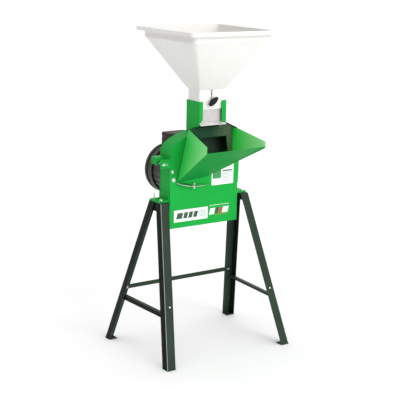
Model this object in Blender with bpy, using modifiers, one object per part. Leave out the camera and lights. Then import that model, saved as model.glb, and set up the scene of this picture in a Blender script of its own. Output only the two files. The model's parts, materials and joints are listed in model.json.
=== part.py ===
"""Electric hammer mill on a splayed angle-iron stand, with a grain hopper and a front feed tray.

Units are metres. +Z is up, -Y is the front (tray side), +Y the motor side, and the feet rest on Z = 0.
The drum is a shallow arched housing. Its axis runs along Y, and the motor drives the rotor directly.
"""
import math

import bmesh
import bpy
from mathutils import Matrix, Vector

# ---------------------------------------------------------------- driving dimensions
GAP = 0.0003                     # between pieces that touch

# Stand: four angle-iron legs, wider at the floor than at the top
LEG_WIDTH = 0.036                # flange width of the angle iron
LEG_SHEET = 0.003
LEG_TOP_Z = 0.594
FOOT_PAD = 0.003                 # thickness of the plate that closes each foot
FRONT_FOOT = (0.288, -0.2428)    # outer corner at the floor, right-hand side
REAR_FOOT = (0.308, 0.1998)
FRONT_TOP = (0.206, -0.0501)     # outer corner at the top, right-hand side
REAR_TOP = (0.206, 0.0358)
SIDE_BRACE_Z = 0.1865
REAR_BRACE_Z = 0.224

# Housing: a vertical-sided arch, closed by a back plate and a hinged front lid
HALF_WIDTH = 0.159
BASE_Z = 0.487
SHOULDER_RADIUS = 0.050
SHOULDER_Z = 0.7767              # height of the shoulder arcs' centres
CROWN_RADIUS = 0.250
CROWN_Z = 0.609                  # height of the crown arc's centre
SHEET = 0.0025
LID_FRONT = -0.0395
LID_BACK = LID_FRONT + SHEET
WRAP_FRONT = LID_BACK + GAP
BACK_REAR = 0.0335
BACK_FRONT = BACK_REAR - 0.003
WRAP_REAR = BACK_FRONT - GAP
AXIS_Z = 0.668                   # rotor and motor axis

# Feed mouth in the lid, and the tray round it
MOUTH = [(-0.070, 0.712), (0.070, 0.712), (0.115, 0.7245), (0.098, 0.832), (-0.070, 0.832)]    # (X, Z)
FLANGE_SHEET = 0.0015
FLANGE_FRONT = LID_FRONT - GAP - FLANGE_SHEET
TRAY_REAR = FLANGE_FRONT - 0.0015
TRAY_LIP_Y = -0.2465
TRAY_HALF = 0.1325               # half width at the lip
TRAY_LIP_Z = 0.814
TRAY_TIP_Z = 0.8385

# Chute on top of the housing: an upright channel, open to the front
CHUTE_X = 0.005
CHUTE_HALF = 0.0618
CHUTE_SHEET = 0.002
CHUTE_FRONT = -0.0796
CHUTE_REAR = 0.0101
CHUTE_TOP = 0.978
CHUTE_LIP = (0.016, 0.0205)      # width of the left and right front flanges

# Hopper: square funnel on a rectangular neck that drops into the chute
HOPPER_X = 0.0035
HOPPER_Y = -0.0327
HOPPER_WALL = 0.003
HOPPER_TOP = 1.250
RIM_HALF = 0.2015
LIP_DROP = 0.0147                # height of the rim's turned-down lip
COLLAR_HALF = 0.1770             # upright wall under the rim, outside
COLLAR_BOTTOM = 1.2098
NECK_HALF_X = 0.0552             # inside
NECK_HALF_Y = 0.0370             # inside
NECK_BOTTOM = 0.947
NECK_TOP = 1.023

# Gate: a sheet blade behind the neck's front wall, moved by a knob through a slot
GATE_FRONT = HOPPER_Y - NECK_HALF_Y + 0.0005
GATE_SHEET = 0.0015
GATE_HALF = 0.050
GATE_BOTTOM = 0.8998
GATE_TOP = 1.000
KNOB_X = 0.002
KNOB_Z = 0.978
KNOB_TILT = math.radians(40)
KNOB_SPAN = (0.0235, 0.0105)      # half length and half width of the wing
SLOT = (0.9735, 1.0125)          # lowest and highest points of the slot

# Rotor: two discs with four pins, a hammer hanging from each pin, and two knives
SHAFT_RADIUS = 0.014
PIN_RING = 0.085
PIN_RADIUS = 0.006
HAMMER_REACH = 0.055
HAMMER_HALF = 0.0125
SIEVE_RADIUS = 0.148

# Motor
MOTOR_RADIUS = 0.098
SHIELD_RADIUS = 0.0945
COVER_RADIUS = 0.102
MOTOR_REAR = 0.2465
FRAME_REAR = 0.1780              # where the finned frame meets the rear end shield
SWITCH_TILT = math.radians(12)

# Lid hinge (vertical) and latch screw (along Y)
HINGE = (0.1625, -0.033)
LATCH = (-0.189, 0.745)          # X and Z of the latch screw
LATCH_TIP = 0.001


# ---------------------------------------------------------------- scene and helpers
for stale in list(bpy.data.objects):
    bpy.data.objects.remove(stale, do_unlink=True)

parts = bpy.data.collections.new("hammer_mill")
cutters = bpy.data.collections.new("cutters")
bpy.context.scene.collection.children.link(parts)
bpy.context.scene.collection.children.link(cutters)


def material(name, color, roughness, metallic=0.0):
    """A plain Principled BSDF."""
    made = bpy.data.materials.new(name)
    made.use_nodes = True
    shader = made.node_tree.nodes["Principled BSDF"]
    shader.inputs["Base Color"].default_value = (*color, 1.0)
    shader.inputs["Roughness"].default_value = roughness
    shader.inputs["Metallic"].default_value = metallic
    return made


GREEN = material("green_paint", (0.024, 0.420, 0.075), 0.40)
DARK = material("dark_green_paint", (0.020, 0.045, 0.032), 0.45)
WHITE = material("white_plastic", (0.86, 0.86, 0.83), 0.40)
BLACK = material("black_plastic", (0.015, 0.015, 0.016), 0.45)
MOTOR = material("motor_paint", (0.030, 0.024, 0.023), 0.45)
ZINC = material("galvanised_sheet", (0.60, 0.57, 0.57), 0.40, 0.9)
BOLT = material("zinc_bolt", (0.72, 0.72, 0.70), 0.30, 1.0)
STEEL = material("ground_steel", (0.45, 0.45, 0.46), 0.35, 1.0)
IRON = material("cast_iron", (0.10, 0.10, 0.10), 0.60, 0.8)


def adopt(obj, name, look):
    """Move an object into the parts collection, named and with its material."""
    for owner in list(obj.users_collection):
        owner.objects.unlink(obj)
    parts.objects.link(obj)
    obj.name = name
    obj.data.name = name
    obj.data.materials.clear()
    obj.data.materials.append(look)
    return obj


def bake(obj):
    """Put an object's own transform into its mesh."""
    bpy.context.view_layer.update()
    obj.data.transform(obj.matrix_world)
    obj.matrix_world = Matrix.Identity(4)
    return obj


def box(name, low, high, look, bevel=0.0):
    """An axis-aligned block between two corners, with its edges rounded if bevel is set."""
    low, high = Vector(low), Vector(high)
    bpy.ops.mesh.primitive_cube_add(size=1.0, location=(low + high) / 2)
    obj = bpy.context.object
    obj.scale = high - low
    adopt(obj, name, look)
    bake(obj)
    if bevel:
        rounded = obj.modifiers.new("rounded", "BEVEL")
        rounded.width = bevel
        rounded.segments = 2
    return obj


def rod(name, radius, start, end, look, sides=24):
    """A cylinder from start to end."""
    start, end = Vector(start), Vector(end)
    run = end - start
    bpy.ops.mesh.primitive_cylinder_add(vertices=sides, radius=radius, depth=run.length,
                                        location=(start + end) / 2,
                                        rotation=run.to_track_quat("Z", "Y").to_euler())
    obj = bpy.context.object
    adopt(obj, name, look)
    bake(obj)
    obj.data.shade_smooth()
    obj.data.set_sharp_from_angle(angle=math.radians(40))
    return obj


NORMALS = {"Z": (0.0, 0.0, 0.0),
           "Y": (math.pi / 2, 0.0, 0.0),
           "X": (math.pi / 2, 0.0, math.pi / 2)}


def sheet(name, outlines, normal, low, high, look):
    """Flat outlines extruded from low to high along an axis; inner outlines are holes.

    Outline points are (X, Y) for normal Z, (X, Z) for normal Y and (Y, Z) for normal X.
    """
    curve = bpy.data.curves.new(name, "CURVE")
    curve.dimensions = "2D"
    curve.fill_mode = "BOTH"
    curve.extrude = (high - low) / 2
    for outline in outlines:
        spline = curve.splines.new("POLY")
        spline.points.add(len(outline) - 1)
        for point, (u, v) in zip(spline.points, outline):
            point.co = (u, v, 0.0, 1.0)
        spline.use_cyclic_u = True
    drawn = bpy.data.objects.new(name + "_outline", curve)
    parts.objects.link(drawn)
    drawn.rotation_euler = NORMALS[normal]
    middle = (low + high) / 2
    drawn.location = [middle if axis == normal else 0.0 for axis in "XYZ"]
    bpy.context.view_layer.update()
    mesh = bpy.data.meshes.new_from_object(drawn.evaluated_get(bpy.context.evaluated_depsgraph_get()))
    shape = bmesh.new()
    shape.from_mesh(mesh)
    bmesh.ops.remove_doubles(shape, verts=shape.verts, dist=0.00001)
    bmesh.ops.recalc_face_normals(shape, faces=shape.faces)
    shape.to_mesh(mesh)
    shape.free()
    obj = bpy.data.objects.new(name, mesh)
    obj.matrix_world = drawn.matrix_world.copy()
    bpy.data.objects.remove(drawn, do_unlink=True)
    parts.objects.link(obj)
    adopt(obj, name, look)
    return bake(obj)


def turned(name, profile, look, closed=True, steps=48, offset=(0.0, 0.0)):
    """A profile of (radius, Y) points turned about the line X = offset[0], Z = AXIS_Z + offset[1].

    A closed profile runs down its outer side, from high Y to low Y.
    """
    count = len(profile)
    edges = [(i, i + 1) for i in range(count - 1)]
    if closed:
        edges.append((count - 1, 0))
    mesh = bpy.data.meshes.new(name)
    mesh.from_pydata([(radius, 0.0, along) for radius, along in profile], edges, [])
    obj = bpy.data.objects.new(name, mesh)
    parts.objects.link(obj)
    adopt(obj, name, look)
    obj.location = (offset[0], 0.0, AXIS_Z + offset[1])
    obj.rotation_euler = (-math.pi / 2, 0.0, 0.0)
    screw = obj.modifiers.new("turned", "SCREW")
    screw.axis = "Z"
    screw.steps = steps
    screw.render_steps = steps
    screw.use_merge_vertices = True
    screw.merge_threshold = 0.00001
    return obj


def settle(obj):
    """Apply an object's modifiers and transform, so that it can be joined or cut."""
    bpy.context.view_layer.update()
    mesh = bpy.data.meshes.new_from_object(obj.evaluated_get(bpy.context.evaluated_depsgraph_get()))
    obj.modifiers.clear()
    obj.data = mesh
    return bake(obj)


def combine(obj, others, operation):
    """Join others to obj, or cut them from it, one exact Boolean at a time."""
    for number, other in enumerate(others):
        for owner in list(other.users_collection):
            owner.objects.unlink(other)
        cutters.objects.link(other)
        other.hide_render = True
        other.display_type = "WIRE"
        step = obj.modifiers.new(f"{operation.lower()}_{number}", "BOOLEAN")
        step.operation = operation
        step.solver = "EXACT"
        step.object = other
    return obj


def cut(obj, others):
    return combine(obj, others, "DIFFERENCE")


def join(obj, others):
    return combine(obj, others, "UNION")


def circle(u, v, radius, sides=16, start=0.0):
    """Points round a circle in a sheet's own plane."""
    return [(u + radius * math.cos(start + math.tau * k / sides),
             v + radius * math.sin(start + math.tau * k / sides)) for k in range(sides)]


def rectangle(left, right, low, high):
    return [(left, low), (right, low), (right, high), (left, high)]


def arc(u, v, radius, start, end, steps):
    """Points along an arc, both ends included; angles in radians."""
    return [(u + radius * math.cos(start + (end - start) * k / steps),
             v + radius * math.sin(start + (end - start) * k / steps)) for k in range(steps + 1)]


def arch(inset=0.0, base=BASE_Z):
    """The housing's outline in (X, Z), from its lower left corner over the top to its lower right."""
    shoulder_x = HALF_WIDTH - SHOULDER_RADIUS
    meet = math.atan2(SHOULDER_Z - CROWN_Z, shoulder_x)
    right = arc(shoulder_x, SHOULDER_Z, SHOULDER_RADIUS - inset, 0.0, meet, 6)
    crown = arc(0.0, CROWN_Z, CROWN_RADIUS - inset, meet, math.pi / 2, 6)[1:]
    half = [(HALF_WIDTH - inset, base)] + right + crown
    mirrored = [(-u, v) for u, v in half[:-1]]
    return mirrored + half[::-1]


# ---------------------------------------------------------------- stand
def leg_corner(foot, top, side, z):
    """The outer corner of a leg at a height; side is -1 for left and 1 for right."""
    share = z / LEG_TOP_Z
    return Vector((side * (foot[0] + (top[0] - foot[0]) * share), foot[1] + (top[1] - foot[1]) * share, z))


def leg(name, foot, top, side, end):
    """One angle-iron leg with its foot plate; end is -1 at the front and 1 at the rear."""
    def inward(u, v):
        return (side * (foot[0] - u), foot[1] - end * v)
    section = [inward(0, 0), inward(LEG_WIDTH, 0), inward(LEG_WIDTH, LEG_SHEET),
               inward(LEG_SHEET, LEG_SHEET), inward(LEG_SHEET, LEG_WIDTH), inward(0, LEG_WIDTH)]
    obj = sheet(name, [section], "Z", FOOT_PAD / 2, LEG_TOP_Z, DARK)
    lean_x = side * (top[0] - foot[0]) / LEG_TOP_Z
    lean_y = (top[1] - foot[1]) / LEG_TOP_Z
    obj.data.transform(Matrix(((1, 0, lean_x, 0), (0, 1, lean_y, 0), (0, 0, 1, 0), (0, 0, 0, 1))))
    corner, far = inward(0, 0), inward(LEG_WIDTH, LEG_WIDTH)
    pad = box(name + "_pad", (min(corner[0], far[0]), min(corner[1], far[1]), 0.0),
              (max(corner[0], far[0]), max(corner[1], far[1]), FOOT_PAD), DARK)
    return join(obj, [pad])


def bar(name, section, start, end, up, look):
    """A section extruded from start to end; its second coordinate points along up."""
    start, end = Vector(start), Vector(end)
    along = (end - start).normalized()
    across = Vector(up).cross(along).normalized()
    upright = along.cross(across)
    obj = sheet(name, [section], "Z", 0.0, (end - start).length, look)
    place = Matrix((across, upright, along)).transposed().to_4x4()
    place.translation = start
    obj.data.transform(place)
    return obj


def hex_bolt(name, centre, normal, head=0.0065, height=0.0045, stud=0.0, look=BOLT):
    """A hexagon head standing on a face at centre, with a round stud rising past it if stud is set."""
    centre, normal = Vector(centre), Vector(normal).normalized()
    obj = rod(name, head, centre + normal * GAP, centre + normal * (height + GAP), look, sides=6)
    if stud:
        return join(obj, [rod(name + "_stud", head * 0.5, centre + normal * (height * 0.5),
                              centre + normal * (height + stud), look, sides=12)])
    return obj


def stand():
    for side, hand in ((-1, "left"), (1, "right")):
        leg(f"leg_front_{hand}", FRONT_FOOT, FRONT_TOP, side, -1)
        leg(f"leg_rear_{hand}", REAR_FOOT, REAR_TOP, side, 1)
        top_rail(hand, side)
        side_brace(hand, side)
    rear_brace()


def top_rail(hand, side):
    """Short angle iron that joins the tops of one side's two legs and carries the bracket."""
    outer = side * (FRONT_TOP[0] - LEG_SHEET - GAP)
    inner = side * (FRONT_TOP[0] - LEG_WIDTH)
    web = outer - side * LEG_SHEET
    section = [(outer, LEG_TOP_Z - 0.036), (outer, LEG_TOP_Z), (inner, LEG_TOP_Z),
               (inner, LEG_TOP_Z - LEG_SHEET), (web, LEG_TOP_Z - LEG_SHEET), (web, LEG_TOP_Z - 0.036)]
    rail = sheet(f"top_rail_{hand}", [section], "Y", FRONT_TOP[1] + LEG_SHEET + GAP,
                 REAR_TOP[1] - LEG_SHEET - GAP, DARK)
    cut(rail, [rod(f"rail_hole_{hand}_{k}", 0.0045, (side * BRACKET_BOLT_X, y, LEG_TOP_Z - 0.02),
                   (side * BRACKET_BOLT_X, y, LEG_TOP_Z + 0.02), DARK, sides=12)
               for k, y in enumerate(BRACKET_BOLT_Y)])


def side_brace(hand, side):
    """Light angle between the front and rear legs of one side, just inside their side flanges."""
    tall = 0.018
    low = SIDE_BRACE_Z - tall / 2
    ends = []
    for foot, top, toward in ((FRONT_FOOT, FRONT_TOP, 1), (REAR_FOOT, REAR_TOP, -1)):
        corner = leg_corner(foot, top, side, low + tall)
        ends.append(Vector((corner.x - side * (LEG_SHEET + 0.0022), corner.y + toward * 0.012, low)))
    start, end = ends
    section = [(0, 0), (0.0025, 0), (0.0025, tall - 0.0025), (0.016, tall - 0.0025), (0.016, tall), (0, tall)]
    if side < 0:
        section = [(-u, v) for u, v in section]
    bar(f"side_brace_{hand}", section, start, end, (0, 0, 1), DARK)


def rear_brace():
    """Flat bar across the rear legs, leaning with them, and its two nuts; two bolts on the front legs."""
    lean_rear = (REAR_TOP[1] - REAR_FOOT[1]) / LEG_TOP_Z
    lean_front = (FRONT_TOP[1] - FRONT_FOOT[1]) / LEG_TOP_Z
    inner = Vector((0, -1, lean_rear)).normalized()
    up = Vector((0, lean_rear, 1)).normalized()
    thick, half = 0.003, 0.0095
    corner = leg_corner(REAR_FOOT, REAR_TOP, 1, REAR_BRACE_Z)
    face = Vector((0, corner.y - LEG_SHEET, REAR_BRACE_Z)) + inner * 0.0006
    reach = corner.x - 0.012
    section = rectangle(0.0, thick, -half, half)
    bar("rear_brace", section, face + Vector((-reach, 0, 0)), face + Vector((reach, 0, 0)), -up, DARK)
    for side, hand in ((-1, "left"), (1, "right")):
        nut = face + inner * thick + Vector((side * (reach - 0.010), 0, 0))
        hex_bolt(f"brace_bolt_rear_{hand}", nut, inner, head=0.006, height=0.004)
        front = leg_corner(FRONT_FOOT, FRONT_TOP, side, REAR_BRACE_Z - 0.001)
        hex_bolt(f"brace_bolt_front_{hand}", front + Vector((-side * 0.020, 0, 0)),
                 Vector((0, -1, lean_front)), head=0.0045, height=0.003)


# ---------------------------------------------------------------- housing
BRACKET_BOLT_X = 0.190
BRACKET_BOLT_Y = (-0.026, 0.0245)


def housing():
    shell = arch()
    inside = arch(SHEET)
    sheet("drum_wrap", [shell + inside[::-1]], "Y", WRAP_FRONT, WRAP_REAR, GREEN)
    sheet("back_plate", [shell, circle(0.0, AXIS_Z, 0.0205, 24)], "Y", BACK_FRONT, BACK_REAR, GREEN)
    for side, hand in ((-1, "left"), (1, "right")):
        bracket(hand, side)
    box("counter_knife", (-HALF_WIDTH + SHEET + GAP, -0.030, 0.700), (-0.1455, 0.022, 0.726), STEEL)
    sieve()


def bracket(hand, side):
    """Angle that carries the housing on one top rail, with its two upright bolts."""
    base = LEG_TOP_Z + GAP
    wall = side * (HALF_WIDTH + GAP)
    wing, foot = 0.003, 0.006    # thickness of its upright wing and of its foot
    section = [(wall, base), (side * 0.2055, base), (side * 0.2055, base + foot),
               (wall + side * wing, base + foot), (wall + side * wing, base + 0.034), (wall, base + 0.034)]
    angle = sheet(f"bracket_{hand}", [section], "Y", -0.0345, 0.0325, GREEN)
    cut(angle, [rod(f"bracket_hole_{hand}_{k}", 0.0045, (side * BRACKET_BOLT_X, y, base - 0.01),
                    (side * BRACKET_BOLT_X, y, base + 0.01), GREEN, sides=12)
                for k, y in enumerate(BRACKET_BOLT_Y)])
    for y, place, stud in zip(BRACKET_BOLT_Y, ("front", "rear"), (0.002, 0.018)):
        top = base + foot + GAP
        bolt = rod(f"bracket_bolt_{hand}_{place}", 0.0065, (side * BRACKET_BOLT_X, y, top),
                   (side * BRACKET_BOLT_X, y, top + 0.005), BOLT, sides=6)
        shank = rod(f"bolt_shank_{hand}_{place}", 0.0035, (side * BRACKET_BOLT_X, y, LEG_TOP_Z - 0.008),
                    (side * BRACKET_BOLT_X, y, top + 0.005 + stud), BOLT, sides=12)
        head = rod(f"bolt_head_{hand}_{place}", 0.0065,
                   (side * BRACKET_BOLT_X, y, LEG_TOP_Z - LEG_SHEET - GAP - 0.005),
                   (side * BRACKET_BOLT_X, y, LEG_TOP_Z - LEG_SHEET - GAP), BOLT, sides=6)
        join(bolt, [shank, head])


def sieve():
    """Half-round perforated screen under the rotor, with a small ledge at each end."""
    thick = 0.0015
    outer = SIEVE_RADIUS + thick
    reach = HALF_WIDTH - SHEET - GAP
    lower = arc(0.0, AXIS_Z, outer, math.pi, math.tau, 28)
    upper = arc(0.0, AXIS_Z, SIEVE_RADIUS, math.tau, math.pi, 28)[1:-1]
    ledge = AXIS_Z + thick
    outline = ([(-reach, ledge), (-reach, AXIS_Z)] + lower + [(reach, AXIS_Z), (reach, ledge)]
               + [(SIEVE_RADIUS, ledge)] + upper + [(-SIEVE_RADIUS, ledge)])
    screen = sheet("sieve", [outline], "Y", WRAP_FRONT + GAP, WRAP_REAR - GAP, STEEL)
    holes = []
    for column in range(9):
        angle = math.radians(206 + column * 16)
        out = Vector((math.cos(angle), 0.0, math.sin(angle)))
        for row, y in enumerate((-0.022, -0.003, 0.016)):
            centre = Vector((0.0, y, AXIS_Z))
            holes.append(rod(f"sieve_hole_{column}_{row}", 0.0045, centre + out * (SIEVE_RADIUS - 0.006),
                             centre + out * (outer + 0.006), STEEL, sides=8))
    cut(screen, holes)


# ---------------------------------------------------------------- front lid, latch and hinge
def lid():
    """Front lid with its feed mouth and the ear that the latch screw goes through."""
    outline = arch()
    x, z = LATCH
    ear = [(-HALF_WIDTH, z - 0.017), (x - 0.011, z - 0.017), (x - 0.014, z - 0.014),
           (x - 0.014, z + 0.014), (x - 0.011, z + 0.017), (-HALF_WIDTH, z + 0.017)]
    outline = outline[:1] + ear + outline[1:]
    sheet("front_lid", [outline, MOUTH, circle(*LATCH, 0.0047)],
          "Y", LID_FRONT, LID_BACK, GREEN)
    face = LID_FRONT
    hex_bolt("lid_bolt_upper", (-0.1468, face, 0.7117), (0, -1, 0), head=0.0075, height=0.004)
    hex_bolt("lid_bolt_lower", (-0.1427, face, 0.6793), (0, -1, 0), head=0.0080, height=0.005)


def latch():
    """Closed bracket on the housing's side, and the captive wing screw that pulls the lid to it."""
    x, z = LATCH
    web, thick = -0.004, 0.003
    low, high = 0.7365, 0.7655
    reach = -0.199
    section = [(web, low), (BACK_REAR, low), (BACK_REAR, low + thick), (web + thick, low + thick),
               (web + thick, high - thick), (BACK_REAR, high - thick), (BACK_REAR, high), (web, high)]
    strap = sheet("latch_bracket", [section], "X", reach, -HALF_WIDTH - GAP, GREEN)
    join(strap, [box("latch_side", (reach, web + 0.001, low + 0.001),
                     (reach + thick, BACK_REAR, high - 0.001), GREEN)])
    cut(strap, [rod("latch_hole", 0.0050, (x, web - 0.01, z), (x, web + 0.01, z), GREEN, sides=16)])
    screw = rod("latch_screw", 0.0075, (x, LID_FRONT - GAP, z), (x, LID_FRONT - 0.008, z), BOLT, sides=16)
    shank = rod("latch_shank", 0.0035, (x, LATCH_TIP, z), (x, LID_FRONT - 0.006, z), BOLT, sides=12)
    wing = sheet("latch_wing", [arc(x - 0.012, z, 0.005, math.pi / 2, 1.5 * math.pi, 6)
                                + arc(x + 0.012, z, 0.005, -math.pi / 2, math.pi / 2, 6)],
                 "Y", LID_FRONT - 0.017, LID_FRONT - 0.006, BOLT)
    join(screw, [shank, wing])


def hinge():
    """Slim butt hinge in the corner behind the lid's right-hand edge: the body's leaf carries the pin."""
    x, y = HINGE
    low, high = 0.640, 0.800
    split_low, split_high = 0.682, 0.758
    barrel = 0.003
    wall = HALF_WIDTH + GAP
    leaf = box("hinge_body_leaf", (wall, -0.024, low), (wall + 0.002, 0.006, high), GREEN)
    extras = [rod("hinge_pin", 0.0014, (x, y, low + 0.01), (x, y, high - 0.01), GREEN, sides=12)]
    for name, a, b in (("lower", low, split_low), ("upper", split_high, high)):
        extras.append(box(f"hinge_arm_{name}", (wall, y, a), (x + 0.0003, -0.020, b), GREEN))
        extras.append(rod(f"hinge_barrel_{name}", barrel, (x, y, a), (x, y, b), GREEN, sides=16))
    join(leaf, extras)
    moving = rod("hinge_lid_leaf", barrel, (x, y, split_low + GAP), (x, y, split_high - GAP), GREEN, sides=16)
    web = box("hinge_web", (wall, LID_FRONT, split_low + GAP), (x, y, split_high - GAP), GREEN)
    join(moving, [web])
    cut(moving, [rod("hinge_bore", 0.0018, (x, y, low), (x, y, high), GREEN, sides=12)])


# ---------------------------------------------------------------- feed tray
def tray():
    """Folded sheet funnel in front of the mouth, on a flange that is fixed to the lid."""
    outline = [(-0.1252, 0.6716), (-0.0800, 0.8698), (-0.0640, 0.8735), (0.0690, 0.8735), (0.0690, 0.8830),
               (0.0930, 0.8840), (0.1252, 0.8686), (0.1281, 0.7186), (0.0006, 0.6800)]
    middle_x, middle_z, grow = 0.014, 0.772, 1.014     # the flange's hole is a little larger than the mouth
    hole = [(middle_x + (x - middle_x) * grow, middle_z + (z - middle_z) * grow) for x, z in MOUTH]
    sheet("tray_flange", [outline, hole], "Y", FLANGE_FRONT, LID_FRONT - GAP, DARK)
    rear = TRAY_REAR
    corners = [(-0.080, rear, 0.8702), (-0.1263, rear, 0.6706), (0.0006, rear, 0.6793),
               (0.1290, rear, 0.7180), (0.1260, rear, 0.8695),
               (TRAY_HALF, TRAY_LIP_Y, TRAY_TIP_Z), (TRAY_HALF, TRAY_LIP_Y, TRAY_LIP_Z),
               (-TRAY_HALF, TRAY_LIP_Y, TRAY_LIP_Z), (-TRAY_HALF, TRAY_LIP_Y, TRAY_TIP_Z)]
    panels = [(0, 1, 7, 8), (1, 2, 6, 7), (2, 3, 6), (3, 4, 5, 6)]
    mesh = bpy.data.meshes.new("tray")
    mesh.from_pydata(corners, [], panels)
    obj = bpy.data.objects.new("tray", mesh)
    parts.objects.link(obj)
    adopt(obj, "tray", GREEN)
    thick = obj.modifiers.new("sheet", "SOLIDIFY")
    thick.thickness = 0.0015
    thick.offset = 0.0
    ledge()


def ledge():
    """Sloping half-round tab under the tray, with the small bolt that holds the tray's foot."""
    half, reach, skew = 0.0745, 0.027, 0.25      # the tab is fuller towards its left
    slope, roll = math.radians(18), math.radians(7.4)
    outline = [(half * math.cos(angle), -reach * math.sin(angle) * (1 - skew * math.cos(angle)))
               for angle in [math.pi * k / 14 for k in range(15)]]
    obj = sheet("tray_ledge", [outline], "Z", -0.001, 0.001, ZINC)
    root = Vector((-0.058, FLANGE_FRONT - 0.0007, 0.6595))
    obj.data.transform(Matrix.Translation(root) @ Matrix.Rotation(roll, 4, "Y")
                       @ Matrix.Rotation(slope, 4, "X"))
    x, y, z = -0.0625, -0.0605, 0.6535           # where the bolt goes through the tab
    cut(obj, [rod("ledge_hole", 0.0036, (x, y, z - 0.02), (x, y, z + 0.02), ZINC, sides=12)])
    bolt = rod("ledge_bolt", 0.0030, (x, y, z - 0.012), (x, y, z + 0.010), BOLT, sides=12)
    join(bolt, [rod("ledge_bolt_head", 0.0055, (x, y, z + 0.006), (x, y, z + 0.010), BOLT, sides=6)])


# ---------------------------------------------------------------- chute, deflector, hopper and gate
def chute():
    """Upright channel on the crown, cut to sit on it and slanted over the feed mouth."""
    left, right = CHUTE_X - CHUTE_HALF, CHUTE_X + CHUTE_HALF
    t = CHUTE_SHEET
    lip_left, lip_right = left + CHUTE_LIP[0], right - CHUTE_LIP[1]
    section = [(left, CHUTE_REAR), (left, CHUTE_FRONT), (lip_left, CHUTE_FRONT), (lip_left, CHUTE_FRONT + t),
               (left + t, CHUTE_FRONT + t), (left + t, CHUTE_REAR - t),
               (right - t, CHUTE_REAR - t), (right - t, CHUTE_FRONT + t), (lip_right, CHUTE_FRONT + t),
               (lip_right, CHUTE_FRONT), (right, CHUTE_FRONT), (right, CHUTE_REAR)]
    obj = sheet("chute", [section], "Z", 0.840, CHUTE_TOP, GREEN)
    reach = LID_FRONT + 0.001
    seat = sheet("chute_seat", [arch(-GAP, 0.70)], "Y", reach - 0.0005, CHUTE_REAR + 0.02, GREEN)
    slant = sheet("chute_slant", [[(CHUTE_FRONT - 0.01, 0.80), (reach, 0.80), (reach, 0.8745),
                                   (CHUTE_FRONT, 0.886), (CHUTE_FRONT - 0.01, 0.889)]],
                  "X", left - 0.01, right + 0.01, GREEN)
    flare = sheet("chute_flare", [[(left - 0.01, 0.80), (right + 0.01, 0.80), (right + 0.01, 0.8845),
                                   (right, 0.8865), (right - t - GAP, 0.8945), (lip_right, 0.8990),
                                   (lip_right, 0.908), (lip_left, 0.908), (left, 0.894),
                                   (left - 0.01, 0.888)]],
                  "Y", CHUTE_FRONT - 0.01, CHUTE_FRONT + t + GAP, GREEN)
    cut(obj, [seat, slant, flare])
    slope = 0.6
    half = CHUTE_HALF - t - GAP * 2
    front, back = -0.0860, CHUTE_REAR - t - 0.001
    section = [(front, 0.8885), (back, 0.8885 + slope * (back - front)),
               (back, 0.8870 + slope * (back - front)), (front, 0.8870)]
    sheet("deflector", [section], "X", CHUTE_X - half, CHUTE_X + half, ZINC)


def rounded_rectangle(half_x, half_y, radius, z, steps=3):
    """Points round a rectangle with rounded corners, centred on the hopper's axis."""
    points = []
    for quarter, (sx, sy) in enumerate(((1, 1), (-1, 1), (-1, -1), (1, -1))):
        cx, cy = HOPPER_X + sx * (half_x - radius), HOPPER_Y + sy * (half_y - radius)
        start = quarter * math.pi / 2
        points += [(u, v, z) for u, v in arc(cx, cy, radius, start, start + math.pi / 2, steps)]
    return points


def hopper():
    """Square funnel: one closed loft, up the inside, over the rim and its lip, and back down the outside."""
    w = HOPPER_WALL
    inside = [(NECK_HALF_X, NECK_HALF_Y, 0.004, NECK_BOTTOM), (NECK_HALF_X, NECK_HALF_Y, 0.004, NECK_TOP),
              (COLLAR_HALF - w, COLLAR_HALF - w, 0.012, COLLAR_BOTTOM + 0.0008),
              (COLLAR_HALF - w, COLLAR_HALF - w, 0.012, HOPPER_TOP - 0.004),
              (COLLAR_HALF + 0.001, COLLAR_HALF + 0.001, 0.014, HOPPER_TOP)]
    lip = [(RIM_HALF - 0.0025, RIM_HALF - 0.0025, 0.016, HOPPER_TOP),
           (RIM_HALF, RIM_HALF, 0.018, HOPPER_TOP - 0.0025),
           (RIM_HALF, RIM_HALF, 0.018, HOPPER_TOP - LIP_DROP),
           (RIM_HALF - w, RIM_HALF - w, 0.015, HOPPER_TOP - LIP_DROP),
           (RIM_HALF - w, RIM_HALF - w, 0.015, HOPPER_TOP - w)]
    outside = [(COLLAR_HALF, COLLAR_HALF, 0.015, HOPPER_TOP - w),
               (COLLAR_HALF, COLLAR_HALF, 0.015, COLLAR_BOTTOM),
               (NECK_HALF_X + w, NECK_HALF_Y + w, 0.007, NECK_TOP - 0.0015),
               (NECK_HALF_X + w, NECK_HALF_Y + w, 0.007, NECK_BOTTOM)]
    rings = inside + lip + outside
    points, faces = [], []
    for half_x, half_y, radius, z in rings:
        points += rounded_rectangle(half_x, half_y, radius, z)
    count = len(points) // len(rings)
    for level in range(len(rings)):
        above = (level + 1) % len(rings)
        for k in range(count):
            beside = (k + 1) % count
            faces.append((level * count + k, above * count + k,
                          above * count + beside, level * count + beside))
    mesh = bpy.data.meshes.new("hopper")
    mesh.from_pydata(points, [], faces)
    obj = bpy.data.objects.new("hopper", mesh)
    parts.objects.link(obj)
    adopt(obj, "hopper", WHITE)
    slot = box("gate_slot", (KNOB_X - 0.0032, HOPPER_Y - NECK_HALF_Y - 0.01, SLOT[0]),
               (KNOB_X + 0.0032, HOPPER_Y - NECK_HALF_Y + 0.004, SLOT[1]), WHITE)
    cut(obj, [slot])


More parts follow.
